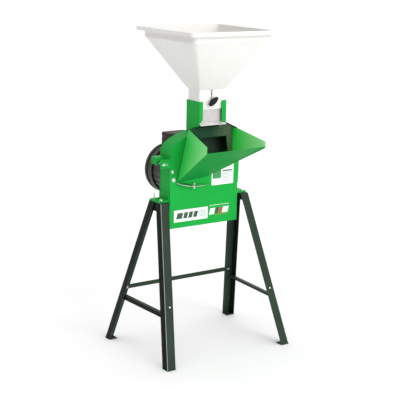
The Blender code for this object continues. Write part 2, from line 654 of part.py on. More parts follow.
def gate():
    """Sliding blade and the black wing knob on its stud."""
    box("gate", (CHUTE_X - GATE_HALF, GATE_FRONT, GATE_BOTTOM),
        (CHUTE_X + GATE_HALF, GATE_FRONT + GATE_SHEET, GATE_TOP), ZINC)
    wall = HOPPER_Y - NECK_HALF_Y - HOPPER_WALL
    boss = rod("gate_knob", 0.0085, (KNOB_X, wall - 0.0005, KNOB_Z), (KNOB_X, wall - 0.0230, KNOB_Z), BLACK)
    stud = rod("gate_stud", 0.0025, (KNOB_X, GATE_FRONT - GAP, KNOB_Z), (KNOB_X, wall - 0.01, KNOB_Z),
               BLACK, sides=12)
    outline = []
    for angle in [math.tau * k / 20 for k in range(20)]:
        u, v = KNOB_SPAN[0] * math.cos(angle), KNOB_SPAN[1] * math.sin(angle)
        outline.append((KNOB_X + u * math.cos(KNOB_TILT) - v * math.sin(KNOB_TILT),
                        KNOB_Z + u * math.sin(KNOB_TILT) + v * math.cos(KNOB_TILT)))
    wing = sheet("gate_wing", [outline], "Y", wall - 0.0210, wall - 0.0090, BLACK)
    join(boss, [stud, wing])


# ---------------------------------------------------------------- rotor
HAMMER_LAYERS = ((-0.0160, -0.0100), (-0.0040, 0.0020))


def rotor():
    """Shaft, two discs, four swinging hammers, two knives and the end nut."""
    core = 0.0465                # radius of the motor's rotor core on the shaft
    shaft_profile = [(0.0, 0.2135), (0.0095, 0.2135), (0.0095, 0.1985), (SHAFT_RADIUS, 0.1955),
                     (SHAFT_RADIUS, 0.1740), (core, 0.1720), (core, 0.0720), (SHAFT_RADIUS, 0.0700),
                     (SHAFT_RADIUS, -0.0250), (0.0, -0.0250)]
    turned("motor_shaft", shaft_profile, STEEL, closed=False, steps=24)
    bore = SHAFT_RADIUS + 0.0004
    rear = settle(turned("rotor_disc_rear", [(0.098, 0.0160), (0.098, 0.0100), (0.025, 0.0100),
                                             (0.025, -0.0220), (bore, -0.0220), (bore, 0.0160)],
                         IRON, steps=40))
    pins = []
    for k, angle in enumerate(hammer_angles()):
        x, z = PIN_RING * math.cos(angle), AXIS_Z + PIN_RING * math.sin(angle)
        pins.append(rod(f"hammer_pin_{k}", PIN_RADIUS, (x, -0.0255, z), (x, 0.0120, z), IRON, sides=16))
    join(rear, pins)
    holes = [circle(PIN_RING * math.cos(a), AXIS_Z + PIN_RING * math.sin(a), PIN_RADIUS + 0.0005, 16)
             for a in hammer_angles()]
    sheet("rotor_disc_front", [circle(0.0, AXIS_Z, 0.098, 40), circle(0.0, AXIS_Z, bore, 24)] + holes,
          "Y", -0.0255, -0.0225, IRON)
    rod("rotor_nut", 0.017, (0.0, -0.0258, AXIS_Z), (0.0, -0.0335, AXIS_Z), BOLT, sides=6)
    for k, angle in enumerate(hammer_angles()):
        hammer(k, angle)
    for k, sign in enumerate((-1, 1)):
        low, high = sorted((sign * 0.030, sign * 0.112))
        box(f"knife_{k + 1}", (low, -0.0305, AXIS_Z - 0.014), (high, -0.0258, AXIS_Z + 0.014),
            STEEL, bevel=0.001)


def hammer_angles():
    return [math.pi / 4 + k * math.pi / 2 for k in range(4)]


def hammer(k, angle):
    """A flat bar that hangs straight down from its pin."""
    x, z = PIN_RING * math.cos(angle), AXIS_Z + PIN_RING * math.sin(angle)
    outline = (arc(x, z, HAMMER_HALF, 0.0, math.pi, 10)
               + [(x - HAMMER_HALF, z - HAMMER_REACH), (x + HAMMER_HALF, z - HAMMER_REACH)])
    low, high = HAMMER_LAYERS[k % 2]
    sheet(f"hammer_{k + 1}", [outline, circle(x, z, PIN_RADIUS + 0.0005, 16)], "Y", low, high, STEEL)


# ---------------------------------------------------------------- motor
def motor():
    bore = SHAFT_RADIUS + 0.0005
    shield = SHIELD_RADIUS
    turned("front_end_shield", [(0.070, 0.0560), (shield, 0.0530), (shield, BACK_REAR + GAP),
                                (bore, BACK_REAR + GAP), (bore, 0.0560)], MOTOR)
    finned_frame()
    seat = FRAME_REAR + GAP
    turned("rear_end_shield", [(shield, 0.2270), (shield, seat), (bore, seat), (bore, 0.2120),
                               (shield - 0.006, 0.2120), (shield - 0.006, 0.2270)], MOTOR)
    turned("fan", [(0.0, 0.2300), (0.016, 0.2300), (0.016, 0.2200), (0.080, 0.2190), (0.080, 0.2155),
                   (0.016, 0.2145), (0.0, 0.2138)], BLACK, closed=False, steps=32)
    fan_cover()
    terminal_box()


def finned_frame():
    """Motor frame: a tube with shallow, straight cooling fins."""
    fins, root = 24, MOTOR_RADIUS - 0.003
    outline = []
    for k in range(fins):
        middle = math.tau * k / fins
        for share, radius in ((-0.34, root), (-0.20, MOTOR_RADIUS), (0.20, MOTOR_RADIUS), (0.34, root)):
            angle = middle + share * math.tau / fins
            outline.append((radius * math.cos(angle), AXIS_Z + radius * math.sin(angle)))
    sheet("motor_frame", [outline, circle(0.0, AXIS_Z, 0.066, 48)], "Y", 0.0563, FRAME_REAR, MOTOR)


def fan_cover():
    """Cup over the fan with a groove round it, and radial air slots in its rear wall."""
    r, t = COVER_RADIUS, 0.0015
    neck = SHIELD_RADIUS + 0.0005    # the groove's inside, which slips over the end shield
    cup = [(0.0, MOTOR_REAR), (r - 0.006, MOTOR_REAR), (r - 0.0015, MOTOR_REAR - 0.002),
           (r, MOTOR_REAR - 0.007), (r, 0.2300), (neck + t, 0.2280), (neck + t, 0.2195), (r, 0.2175),
           (r, 0.1905), (r - t, 0.1905), (r - t, 0.2167), (neck, 0.2187), (neck, 0.2288), (r - t, 0.2308),
           (r - t, MOTOR_REAR - 0.0065), (r - 0.006, MOTOR_REAR - t), (0.0, MOTOR_REAR - t)]
    cover = settle(turned("fan_cover", cup, MOTOR, closed=False, steps=48))
    slots = []
    for k in range(12):
        angle = math.tau * k / 12
        slot = box(f"air_slot_{k}", (0.030, -0.0045, -0.01), (0.078, 0.0045, 0.01), MOTOR)
        slot.data.transform(Matrix.Translation((0.0, MOTOR_REAR, AXIS_Z))
                            @ Matrix.Rotation(angle, 4, "Y") @ Matrix.Rotation(-math.pi / 2, 4, "X"))
        slots.append(slot)
    cut(cover, slots)


def terminal_box():
    """Switch and terminal box saddled on the motor, with a rocker in its right side and a rear gland."""
    low, high = Vector((-0.069, 0.090, 0.742)), Vector((0.039, 0.176, 0.8295))
    case = settle(box("terminal_box", low, high, BLACK, bevel=0.009))
    cut(case, [rod("motor_saddle", MOTOR_RADIUS + GAP, (0, low.y - 0.01, AXIS_Z), (0, high.y + 0.01, AXIS_Z),
                   BLACK, sides=96)])
    pocket_y, pocket_z = 0.134, 0.797
    pocket = box("rocker_pocket", (high.x - 0.015, pocket_y - 0.0085, pocket_z - 0.0135),
                 (high.x + 0.01, pocket_y + 0.0085, pocket_z + 0.0135), BLACK)
    cut(case, [pocket])
    rocker = box("switch_rocker", (-0.0075, -0.0078, -0.0112), (0.0035, 0.0078, 0.0112), BLACK, bevel=0.001)
    rocker.data.transform(Matrix.Translation((high.x - 0.003, pocket_y, pocket_z))
                          @ Matrix.Rotation(SWITCH_TILT, 4, "Y"))
    x, y, z = -0.030, high.y, 0.785              # where the cable gland sits on the rear wall
    gland = rod("cable_gland", 0.011, (x, y + GAP, z), (x, y + 0.008, z), BLACK, sides=6)
    join(gland, [rod("gland_nose", 0.008, (x, y + 0.004, z), (x, y + 0.022, z), BLACK)])
    hollow = rod("gland_hole", 0.0045, (x, y + 0.006, z), (x, y + 0.03, z), BLACK, sides=16)
    cut(gland, [hollow])


stand()
housing()
lid()
latch()
hinge()
tray()
chute()
hopper()
gate()
rotor()
motor()
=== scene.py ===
"""Looks of the electric hammer mill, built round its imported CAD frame.

Metres, +Z up, -Y the front (tray side), +Y the motor side. Every piece is built in place, in the CAD's frame.
"""
import json
import math

import bmesh
import bpy
from mathutils import Matrix, Vector

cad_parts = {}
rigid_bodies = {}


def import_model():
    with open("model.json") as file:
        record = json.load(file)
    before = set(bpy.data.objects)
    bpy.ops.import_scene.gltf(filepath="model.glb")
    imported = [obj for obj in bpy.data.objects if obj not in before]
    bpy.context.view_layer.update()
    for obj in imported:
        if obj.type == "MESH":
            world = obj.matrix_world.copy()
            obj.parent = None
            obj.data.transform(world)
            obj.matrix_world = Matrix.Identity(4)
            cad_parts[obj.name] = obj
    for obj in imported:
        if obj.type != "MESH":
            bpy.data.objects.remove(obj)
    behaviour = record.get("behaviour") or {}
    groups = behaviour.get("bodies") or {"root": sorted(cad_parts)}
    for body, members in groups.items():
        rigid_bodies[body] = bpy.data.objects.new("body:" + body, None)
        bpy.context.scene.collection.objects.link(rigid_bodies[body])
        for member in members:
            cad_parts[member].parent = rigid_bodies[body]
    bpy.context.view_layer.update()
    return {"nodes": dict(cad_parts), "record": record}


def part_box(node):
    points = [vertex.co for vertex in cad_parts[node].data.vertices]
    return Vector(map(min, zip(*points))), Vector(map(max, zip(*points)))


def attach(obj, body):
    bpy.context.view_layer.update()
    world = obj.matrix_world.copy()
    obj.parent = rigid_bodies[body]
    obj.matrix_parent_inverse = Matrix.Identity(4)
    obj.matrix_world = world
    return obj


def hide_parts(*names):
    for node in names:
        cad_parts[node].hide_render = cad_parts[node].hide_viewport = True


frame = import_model()

# ---------------------------------------------------------------- dimensions
AXIS_Z = 0.668
LID_FRONT, LID_BACK = -0.0395, -0.0370
BACK_REAR = 0.0335
HALF_WIDTH, BASE_Z = 0.159, 0.487
SHOULDER_RADIUS, SHOULDER_Z = 0.050, 0.7767
CROWN_RADIUS, CROWN_Z = 0.250, 0.609
MOUTH = [(-0.070, 0.712), (0.070, 0.712), (0.115, 0.7245), (0.098, 0.832), (-0.070, 0.832)]
TRAY_REAR, TRAY_LIP_Y, TRAY_HALF = -0.0428, -0.2465, 0.1325
HOPPER_X, HOPPER_Y, HOPPER_TOP, RIM_HALF = 0.0035, -0.0327, 1.250, 0.2015
COLLAR_HALF, COLLAR_BOTTOM = 0.1770, 1.2098
CHUTE_X, CHUTE_HALF = 0.005, 0.0618
NECK_X, NECK_Y, NECK_LOW, NECK_HIGH = 0.0552, 0.0370, 0.947, 1.023
WALL = 0.003                                 # the hopper's
SLOT_X, SLOT_LOW, SLOT_HIGH = 0.002, 0.9735, 1.0125
LATCH_X, LATCH_Z = -0.189, 0.745
MOTOR_RADIUS, SHIELD_RADIUS, FRAME_REAR = 0.098, 0.0945, 0.1780
BOX_LOW, BOX_HIGH = Vector((-0.069, 0.090, 0.742)), Vector((0.039, 0.176, 0.8295))
ROCKER_Y, ROCKER_Z = 0.134, 0.797
KNOB_Z = 0.978
NUT_SEAT, HEAD_SEAT = 0.6004, 0.5907         # heights where the brackets' nuts and bolt heads bear
FRONT_LEAN, REAR_LEAN = 0.3244, -0.2761      # rise of the brace bolts' axes for each unit forward
WRAP_SHEET, BACK_SHEET, GAP = 0.0025, 0.003, 0.0003
TRAY_LIP_TOP, TRAY_LIP_LOW = 0.8385, 0.814
FILM_THICK, INK_THICK = 0.00022, 0.00010
BEAD_PITCH = 0.0016                          # from one ripple of a weld bead to the next
FLOOR_REACH = 70.0
CAMERA_PLACE = (-2.3174, -3.4245, 1.5408)
CAMERA_YAW, CAMERA_PITCH, CAMERA_ROLL = 0.59643, 0.22897, 0.019906
LENS, SENSOR = 96.996, 36.0                  # millimetres
ORIGIN, UP, DOWN, FORWARD = (0, 0, 0), (0, 0, 1), (0, 0, -1), (0, -1, 0)


# ---------------------------------------------------------------- materials
class Look:
    """A Principled material being built. Values that are the same all over go straight onto the shader."""

    def __init__(self, name, **sockets):
        self.material = bpy.data.materials.new(name)
        self.material.use_nodes = True
        self.tree = self.material.node_tree
        self.shader = self.tree.nodes["Principled BSDF"]
        for socket, value in sockets.items():
            self.shader.inputs[socket.replace("_", " ")].default_value = value
        self.place = self.tree.nodes.new("ShaderNodeTexCoord").outputs["Object"]
        self.surface = None

    def wire(self, output, target):
        self.tree.links.new(output, target)

    def spot(self, stretch):
        """Object coordinates, scaled along each axis."""
        if stretch is None:
            return self.place
        mapping = self.tree.nodes.new("ShaderNodeMapping")
        mapping.inputs["Scale"].default_value = stretch
        self.wire(self.place, mapping.inputs["Vector"])
        return mapping.outputs["Vector"]

    def noise(self, scale, detail=3.0, rough=0.55, stretch=None):
        made = self.tree.nodes.new("ShaderNodeTexNoise")
        made.inputs["Scale"].default_value = scale
        made.inputs["Detail"].default_value = detail
        made.inputs["Roughness"].default_value = rough
        self.wire(self.spot(stretch), made.inputs["Vector"])
        return made.outputs["Fac"]

    def cells(self, scale):
        made = self.tree.nodes.new("ShaderNodeTexVoronoi")
        made.inputs["Scale"].default_value = scale
        self.wire(self.place, made.inputs["Vector"])
        return made.outputs["Color"]

    def tones(self, value, colour, low, high, start=0.30, end=0.70):
        """Shades of a colour, from low times it to high times it as value goes from start to end."""
        made = self.tree.nodes.new("ShaderNodeValToRGB")
        for element, position, factor in zip(made.color_ramp.elements, (start, end), (low, high)):
            element.position = position
            element.color = (*shade(colour, factor), 1.0)
        self.wire(value, made.inputs["Fac"])
        return made.outputs["Color"]

    def span(self, value, low, high, start=0.3, end=0.7):
        """Numbers from low to high as value goes from start to end."""
        made = self.tree.nodes.new("ShaderNodeMapRange")
        for socket, number in zip(("From Min", "From Max", "To Min", "To Max"), (start, end, low, high)):
            made.inputs[socket].default_value = number
        self.wire(value, made.inputs["Value"])
        return made.outputs["Result"]

    def blend(self, share, first, second):
        """From first to second, each a colour or an output, as share goes from 0 to 1."""
        made = self.tree.nodes.new("ShaderNodeMix")
        made.data_type = "RGBA"
        self.wire(share, made.inputs["Factor"])
        for side, value in (("A", first), ("B", second)):
            socket = [s for s in made.inputs if s.name == side and s.type == "RGBA"][0]
            if isinstance(value, tuple):
                socket.default_value = (*value, 1.0)
            else:
                self.wire(value, socket)
        return [s for s in made.outputs if s.type == "RGBA"][0]

    def split(self, source):
        """X, Y and Z of the object's own coordinates, "Object", or of its surface's direction, "Normal"."""
        made = self.tree.nodes.new("ShaderNodeSeparateXYZ")
        self.wire(self.place.node.outputs[source], made.inputs["Vector"])
        return made.outputs

    def calculate(self, operation, *values):
        made = self.tree.nodes.new("ShaderNodeMath")
        made.operation = operation
        for socket, value in zip(made.inputs, values):
            self.wire(value, socket)
        return made.outputs["Value"]

    def multiply(self, first, second):
        made = self.tree.nodes.new("ShaderNodeVectorMath")
        made.operation = "MULTIPLY"
        self.wire(first, made.inputs[0])
        self.wire(second, made.inputs[1])
        return made.outputs["Vector"]

    def bump(self, value, distance, strength=1.0):
        made = self.tree.nodes.new("ShaderNodeBump")
        made.inputs["Strength"].default_value = strength
        made.inputs["Distance"].default_value = distance
        self.wire(value, made.inputs["Height"])
        if self.surface:
            self.wire(self.surface, made.inputs["Normal"])
        self.surface = made.outputs["Normal"]
        self.wire(self.surface, self.shader.inputs["Normal"])

    def colour(self, output):
        self.wire(output, self.shader.inputs["Base Color"])

    def roughness(self, output):
        self.wire(output, self.shader.inputs["Roughness"])


def shade(colour, factor):
    return tuple(min(1.0, channel * factor) for channel in colour)


PLAIN = (1.0, 1.0, 1.0)                      # white, to be shaded into greys
ALONG_Z = (1.0, 1.0, 0.2)                    # marks drawn out along Z
ACROSS_Z = (1.0, 1.0, 9.0)                   # marks squeezed along Z


def paint(name, colour, rough, specular, dust, dusty):
    """Sprayed enamel on steel sheet: slow drifts of tone, orange peel, faint scuffs and a breath of dust."""
    look = Look(name, Specular_IOR_Level=specular)
    drift = look.tones(look.noise(5.0, 2.0), colour, 0.90, 1.07)
    speck = look.tones(look.noise(320.0, 2.0), colour, 0.93, 1.04, 0.35, 0.65)
    tone = look.blend(look.span(look.noise(40.0, 3.0), 0.30, 0.70), drift, speck)
    film = look.span(look.noise(16.0, 6.0, 0.65), 0.0, dusty, 0.45, 0.75)
    look.colour(look.blend(film, tone, dust))
    scuffs = look.noise(55.0, 5.0, 0.6, ACROSS_Z)
    look.roughness(look.span(scuffs, rough[0], rough[1], 0.35, 0.65))
    look.bump(look.noise(520.0, 2.0), 0.00010)
    look.bump(look.noise(14.0, 1.0), 0.00045, 0.6)
    return look.material


def plastic(name, colour, rough, grain, coat=0.0, soft=0.0, specular=0.5):
    """Moulded plastic: a fine even grain, slight flow marks, and small changes of gloss."""
    look = Look(name, Coat_Weight=coat, Coat_Roughness=0.20, Subsurface_Weight=soft, Subsurface_Scale=0.004,
                Specular_IOR_Level=specular)
    flow = look.tones(look.noise(9.0, 3.0, 0.5, (1.0, 1.0, 0.4)), colour, 0.955, 1.02)
    speck = look.tones(look.noise(500.0, 2.0), colour, 0.95, 1.0, 0.35, 0.65)
    look.colour(look.blend(look.span(look.noise(60.0, 2.0), 0.25, 0.65), flow, speck))
    look.roughness(look.span(look.noise(28.0, 4.0), rough[0], rough[1]))
    look.bump(look.noise(900.0, 2.0), grain)
    look.bump(look.noise(18.0, 1.0), 0.0005, 0.5)
    return look.material


def galvanised(name, colour):
    """Zinc-coated sheet, with its crystal spangle in tone and gloss."""
    look = Look(name, Metallic=0.55)
    spangle = look.cells(140.0)
    grey = look.tones(spangle, colour, 0.84, 1.12, 0.0, 1.0)
    cloud = look.tones(look.noise(30.0, 4.0), colour, 0.90, 1.05, 0.35, 0.70)
    look.colour(look.blend(look.span(look.noise(90.0), 0.35, 0.65), grey, cloud))
    look.roughness(look.span(spangle, 0.36, 0.58, 0.0, 1.0))
    look.bump(look.noise(260.0, 3.0), 0.00006)
    return look.material


def machined(name, colour, rough, stretch):
    """Bare or plated steel, with fine tool marks along one direction and a few darker stains."""
    look = Look(name, Metallic=1.0)
    marks = look.noise(180.0, 4.0, 0.6, stretch)
    bright = look.tones(marks, colour, 0.82, 1.08)
    stain = look.span(look.noise(35.0, 5.0), 0.0, 0.35, 0.55, 0.80)
    look.colour(look.blend(stain, bright, shade(colour, 0.55)))
    look.roughness(look.span(marks, rough[0], rough[1]))
    look.bump(marks, 0.00004)
    return look.material


def casting(name, colour, rough, grain, metallic=0.0, specular=0.5):
    """Enamel or bare skin on a sand casting: coarse bumps under the surface colour."""
    look = Look(name, Metallic=metallic, Specular_IOR_Level=specular)
    tone = look.tones(look.noise(24.0, 4.0), colour, 0.80, 1.20)
    fine = look.tones(look.noise(400.0, 2.0), colour, 0.85, 1.10, 0.35, 0.65)
    look.colour(look.blend(look.span(look.noise(70.0), 0.30, 0.70), tone, fine))
    look.roughness(look.span(look.noise(60.0, 4.0), rough[0], rough[1]))
    look.bump(look.noise(240.0, 3.0), grain)
    return look.material


def print_film(name, colour):
    """Printed vinyl film: nearly even, with a fine screen in the ink and a soft unevenness of gloss."""
    look = Look(name, Coat_Weight=0.25, Coat_Roughness=0.10)
    ink = look.tones(look.noise(700.0, 1.0), colour, 0.93, 1.03, 0.35, 0.65)
    fade = look.tones(look.noise(18.0, 2.0), colour, 0.94, 1.0)
    look.colour(look.blend(look.span(look.noise(40.0), 0.3, 0.7), ink, fade))
    look.roughness(look.span(look.noise(50.0), 0.30, 0.42))
    look.bump(look.noise(300.0, 1.0), 0.00002)
    return look.material


def flange_shade_paint(name, shaded_end, lit_end, start, end):
    """Dark enamel as painted shade, painted paler along X from start to end as painted light where the lit
    strip falls.
    """
    look = Look(name, Specular_IOR_Level=0.15)
    # painted light: darker at low X, paler towards high X
    film = look.blend(look.span(look.split("Object")["X"], 0.0, 1.0, start, end), shaded_end, lit_end)
    cloud = look.tones(look.noise(22.0, 4.0), PLAIN, 0.80, 1.0)
    look.colour(look.multiply(film, cloud))
    look.roughness(look.span(look.noise(30.0, 4.0), 0.45, 0.62))
    look.bump(look.noise(400.0, 2.0), 0.00010)
    return look.material


def tray_paint_with_painted_light(name, floor, left, right):
    """The tray's enamel with painted light: the floor panels painted darker as painted shade, and each cheek
    painted paler from the rear to the lip as a painted sheen.

    left and right are the two cheeks' pairs of colours, (rear, lip).
    """
    look = Look(name, Specular_IOR_Level=0.06)
    place = look.split("Object")
    # painted sheen: each cheek grows paler towards the lip
    forward = look.span(place["Y"], 1.0, 0.0, -0.245, -0.070)
    cheek = look.blend(look.span(place["X"], 0.0, 1.0, 0.02, 0.06),
                       look.blend(forward, *left), look.blend(forward, *right))
    # painted shade: faces that don't face along X, the floor panels, take the darker floor colour
    sideways = look.calculate("ABSOLUTE", look.split("Normal")["X"])
    tone = look.blend(look.span(sideways, 0.0, 1.0, 0.60, 0.88), floor, cheek)
    cloud = look.tones(look.noise(9.0, 3.0), PLAIN, 0.93, 1.0)
    speck = look.tones(look.noise(320.0, 2.0), PLAIN, 0.95, 1.0, 0.35, 0.65)
    mottle = look.blend(look.span(look.noise(40.0), 0.3, 0.7), cloud, speck)
    look.colour(look.multiply(tone, mottle))
    look.roughness(look.span(look.noise(55.0, 5.0, 0.6, ACROSS_Z), 0.32, 0.46, 0.35, 0.65))
    look.bump(look.noise(520.0, 2.0), 0.00010)
    return look.material


def leg_paint(name, front, side, bend_highlight):
    """Enamel on angle iron with painted light: the side flanges painted darker as painted shade, and a pale
    painted highlight along the rolled corner.
    """
    look = Look(name, Specular_IOR_Level=0.06)
    facing = look.split("Normal")
    sideways = look.calculate("ABSOLUTE", facing["X"])
    turned = look.calculate("ABSOLUTE", look.calculate("MULTIPLY", facing["X"], facing["Y"]))
    # painted shade: faces turned along X take the darker side colour
    tone = look.blend(look.span(sideways, 0.0, 1.0, 0.50, 0.85), front, side)
    # painted highlight: the rolled corner, facing along X and Y at once, turns pale
    highlighted = look.blend(look.span(turned, 0.0, 1.0, 0.24, 0.40), tone, bend_highlight)
    cloud = look.tones(look.noise(14.0, 4.0), PLAIN, 0.82, 1.0)
    look.colour(look.multiply(highlighted, cloud))
    look.roughness(look.span(look.noise(60.0, 5.0, 0.6, ALONG_Z), 0.28, 0.44, 0.35, 0.65))
    look.bump(look.noise(520.0, 2.0), 0.00010)
    return look.material


GREEN = paint("green_enamel", (0.013, 0.375, 0.055), (0.32, 0.44), specular=0.05,
              dust=(0.05, 0.32, 0.10), dusty=0.06)
# the floor colour is painted shade; the cheeks' paler lip colours, paler still on the right, are painted
# light
TRAY_GREEN_PAINTED_LIGHT = tray_paint_with_painted_light("tray_enamel_painted_light", floor=(0.006, 0.280, 0.042),
                        left=((0.022, 0.370, 0.055), (0.150, 0.480, 0.160)),
                        right=((0.030, 0.520, 0.060), (0.260, 0.640, 0.270)))
DARK = paint("dark_green_enamel", (0.017, 0.030, 0.020), (0.28, 0.42), specular=0.10,
             dust=(0.14, 0.17, 0.14), dusty=0.05)
# front and side are lit and shaded copies of one enamel; the pale bend colour is a painted highlight
LEG_DARK = leg_paint("leg_enamel", front=(0.030, 0.049, 0.034), side=(0.006, 0.011, 0.007),
                     bend_highlight=(0.42, 0.47, 0.43))
# a dark sheet inside the drum: painted shade for the dark inside seen through the mouth, under a film of dust
SHADE_LINING = paint("lining_painted_shade", (0.045, 0.085, 0.060), (0.50, 0.65), specular=0.15,
               dust=(0.10, 0.08, 0.05), dusty=0.25)
WHITE = plastic("white_polyethylene", (0.82, 0.81, 0.785), (0.34, 0.50), 0.00006, coat=0.10, soft=0.06)
BLACK = plastic("black_nylon", (0.010, 0.012, 0.011), (0.40, 0.55), 0.00008, specular=0.15)
BOX_BLACK = plastic("brown_black_plastic", (0.034, 0.020, 0.021), (0.42, 0.58), 0.00010, specular=0.18)
MOTOR = casting("motor_enamel", (0.046, 0.040, 0.034), (0.36, 0.54), 0.00014, specular=0.22)
ZINC = galvanised("galvanised_steel", (0.84, 0.80, 0.79))
GATE_ZINC = galvanised("weathered_zinc", (0.58, 0.55, 0.55))
POLISHED = machined("polished_plate", (0.80, 0.79, 0.76), (0.10, 0.20), (1.0, 1.0, 1.0))
BOLT = machined("zinc_plating", (0.78, 0.79, 0.78), (0.22, 0.38), ALONG_Z)
# green tint on plated steel: a painted reflection of the green lid
GREEN_TINTED_ZINC = machined("zinc_painted_green_reflection", (0.34, 0.66, 0.42), (0.30, 0.45), ALONG_Z)
STEEL = machined("ground_steel", (0.46, 0.46, 0.47), (0.28, 0.46), (1.0, 6.0, 0.3))
IRON = casting("bare_cast_iron", (0.11, 0.11, 0.11), (0.50, 0.70), 0.00025, metallic=0.7)
# painted shade behind the tray, paler towards +X as painted light
FLANGE_SHADE = flange_shade_paint("flange_enamel_painted_shade", (0.013, 0.060, 0.030), (0.100, 0.135, 0.085), 0.02, 0.125)
FILM_WHITE = print_film("white_film", (0.86, 0.88, 0.85))
FILM_GREEN = print_film("green_ink", (0.030, 0.300, 0.070))
FILM_DARK = print_film("dark_ink", (0.015, 0.075, 0.035))
FILM_GREY = print_film("grey_ink", (0.42, 0.48, 0.50))
FILM_RED = print_film("red_ink", (0.42, 0.060, 0.030))

SLOT_LOOKS = {"green_paint": GREEN, "dark_paint": DARK, "white_plastic": WHITE, "black_plastic": BLACK,
              "motor_paint": MOTOR, "galvanised_sheet": ZINC, "zinc_bolt": BOLT, "ground_steel": STEEL,
              "cast_iron": IRON}
NODE_SLOTS = {entry["node"]: entry["material_slot"] for entry in frame["record"]["subparts"]}
NODE_BODIES = {node: body for body, nodes in frame["record"]["behaviour"]["bodies"].items() for node in nodes}
shown_by_piece = set()


# ---------------------------------------------------------------- mesh helpers
def add(name, points, faces):
    """A new object from points and faces, with its faces turned outwards."""
    mesh = bpy.data.meshes.new(name)
    mesh.from_pydata([tuple(point) for point in points], [], faces)
    shape = bmesh.new()
    shape.from_mesh(mesh)
    bmesh.ops.remove_doubles(shape, verts=shape.verts, dist=0.000001)
    bmesh.ops.recalc_face_normals(shape, faces=shape.faces)
    shape.to_mesh(mesh)
    shape.free()
    obj = bpy.data.objects.new(name, mesh)
    bpy.context.scene.collection.objects.link(obj)
    return obj


def smooth(obj, angle=35.0):
    obj.data.shade_smooth()
    obj.data.set_sharp_from_angle(angle=math.radians(angle))
    return obj


def soften(obj, width, segments=2, angle=28.0):
    """Round the edges that turn more than angle, and shade the faces between them smooth."""
    smooth(obj)
    edge = obj.modifiers.new("edges", "BEVEL")
    edge.width = width
    edge.segments = segments
    edge.limit_method = "ANGLE"
    edge.angle_limit = math.radians(angle)
    edge.harden_normals = True
    edge.use_clamp_overlap = True
    return obj


def settle(obj):
    """Apply an object's modifiers."""
    bpy.context.view_layer.update()
    mesh = bpy.data.meshes.new_from_object(obj.evaluated_get(bpy.context.evaluated_depsgraph_get()))
    obj.modifiers.clear()
    obj.data = mesh
    return obj


def merge(obj, others):
    """Put the meshes of others into obj, each as its own shell."""
    shape = bmesh.new()
    shape.from_mesh(obj.data)
    for other in others:
        shape.from_mesh(other.data)
        bpy.data.objects.remove(other, do_unlink=True)
    shape.to_mesh(obj.data)
    shape.free()
    return obj


def cut(obj, tools):
    """Cut tools from obj with exact Booleans, and delete them."""
    for tool in tools:
        step = obj.modifiers.new("cut", "BOOLEAN")
        step.solver = "EXACT"
        step.object = tool
    settle(obj)
    for tool in tools:
        bpy.data.objects.remove(tool, do_unlink=True)
    return tidy(obj)


def tidy(obj):
    """Weld an object's mesh and merge the triangles of each flat face."""
    shape = bmesh.new()
    shape.from_mesh(obj.data)
    bmesh.ops.remove_doubles(shape, verts=shape.verts, dist=0.000005)
    bmesh.ops.dissolve_degenerate(shape, edges=shape.edges, dist=0.000005)
    bmesh.ops.dissolve_limit(shape, angle_limit=math.radians(0.3), verts=shape.verts, edges=shape.edges)
    bmesh.ops.recalc_face_normals(shape, faces=shape.faces)
    shape.to_mesh(obj.data)
    shape.free()
    return obj


def piece(obj, look, body, slot, *nodes):
    """Give an object its material and its body, and name the CAD nodes it stands for. slot is not used."""
    obj.data.materials.clear()
    obj.data.materials.append(look)
    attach(obj, body)
    if nodes:
        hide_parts(*nodes)
        shown_by_piece.update(nodes)
    return obj


def for_node(obj, node, look=None):
    """An object that stands for one CAD node, on its body, with its slot's material unless a look is given.
    """
    return piece(obj, look or SLOT_LOOKS[NODE_SLOTS[node]], NODE_BODIES[node], NODE_SLOTS[node], node)


def copy_node(node):
    """A welded copy of a CAD node's mesh."""
    obj = bpy.data.objects.new(node + "_finished", frame["nodes"][node].data.copy())
    bpy.context.scene.collection.objects.link(obj)
    for attribute in [a.name for a in obj.data.attributes if a.name == "custom_normal"]:
        obj.data.attributes.remove(obj.data.attributes[attribute])
    return tidy(obj)


# how a flat curve turns to face along each axis
TURNS = {"Z": (0.0, 0.0, 0.0), "Y": (math.pi / 2, 0.0, 0.0), "X": (math.pi / 2, 0.0, math.pi / 2)}


def prism(name, outlines, normal, low, high):
    """Flat outlines extruded along an axis; inner outlines are holes."""
    curve = bpy.data.curves.new(name, "CURVE")
    curve.dimensions = "2D"
    curve.fill_mode = "BOTH"
    curve.extrude = (high - low) / 2
    for outline in outlines:
        spline = curve.splines.new("POLY")
        spline.points.add(len(outline) - 1)
        for point, (u, v) in zip(spline.points, outline):
            point.co = (u, v, 0.0, 1.0)
        spline.use_cyclic_u = True
    drawn = bpy.data.objects.new(name + "_outline", curve)
    bpy.context.scene.collection.objects.link(drawn)
    drawn.rotation_euler = TURNS[normal]
    drawn.location = [(low + high) / 2 if axis == normal else 0.0 for axis in "XYZ"]
    bpy.context.view_layer.update()
    mesh = bpy.data.meshes.new_from_object(drawn.evaluated_get(bpy.context.evaluated_depsgraph_get()))
    mesh.transform(drawn.matrix_world)
    mesh.name = name
    bpy.data.objects.remove(drawn, do_unlink=True)
    obj = bpy.data.objects.new(name, mesh)
    bpy.context.scene.collection.objects.link(obj)
    return tidy(obj)


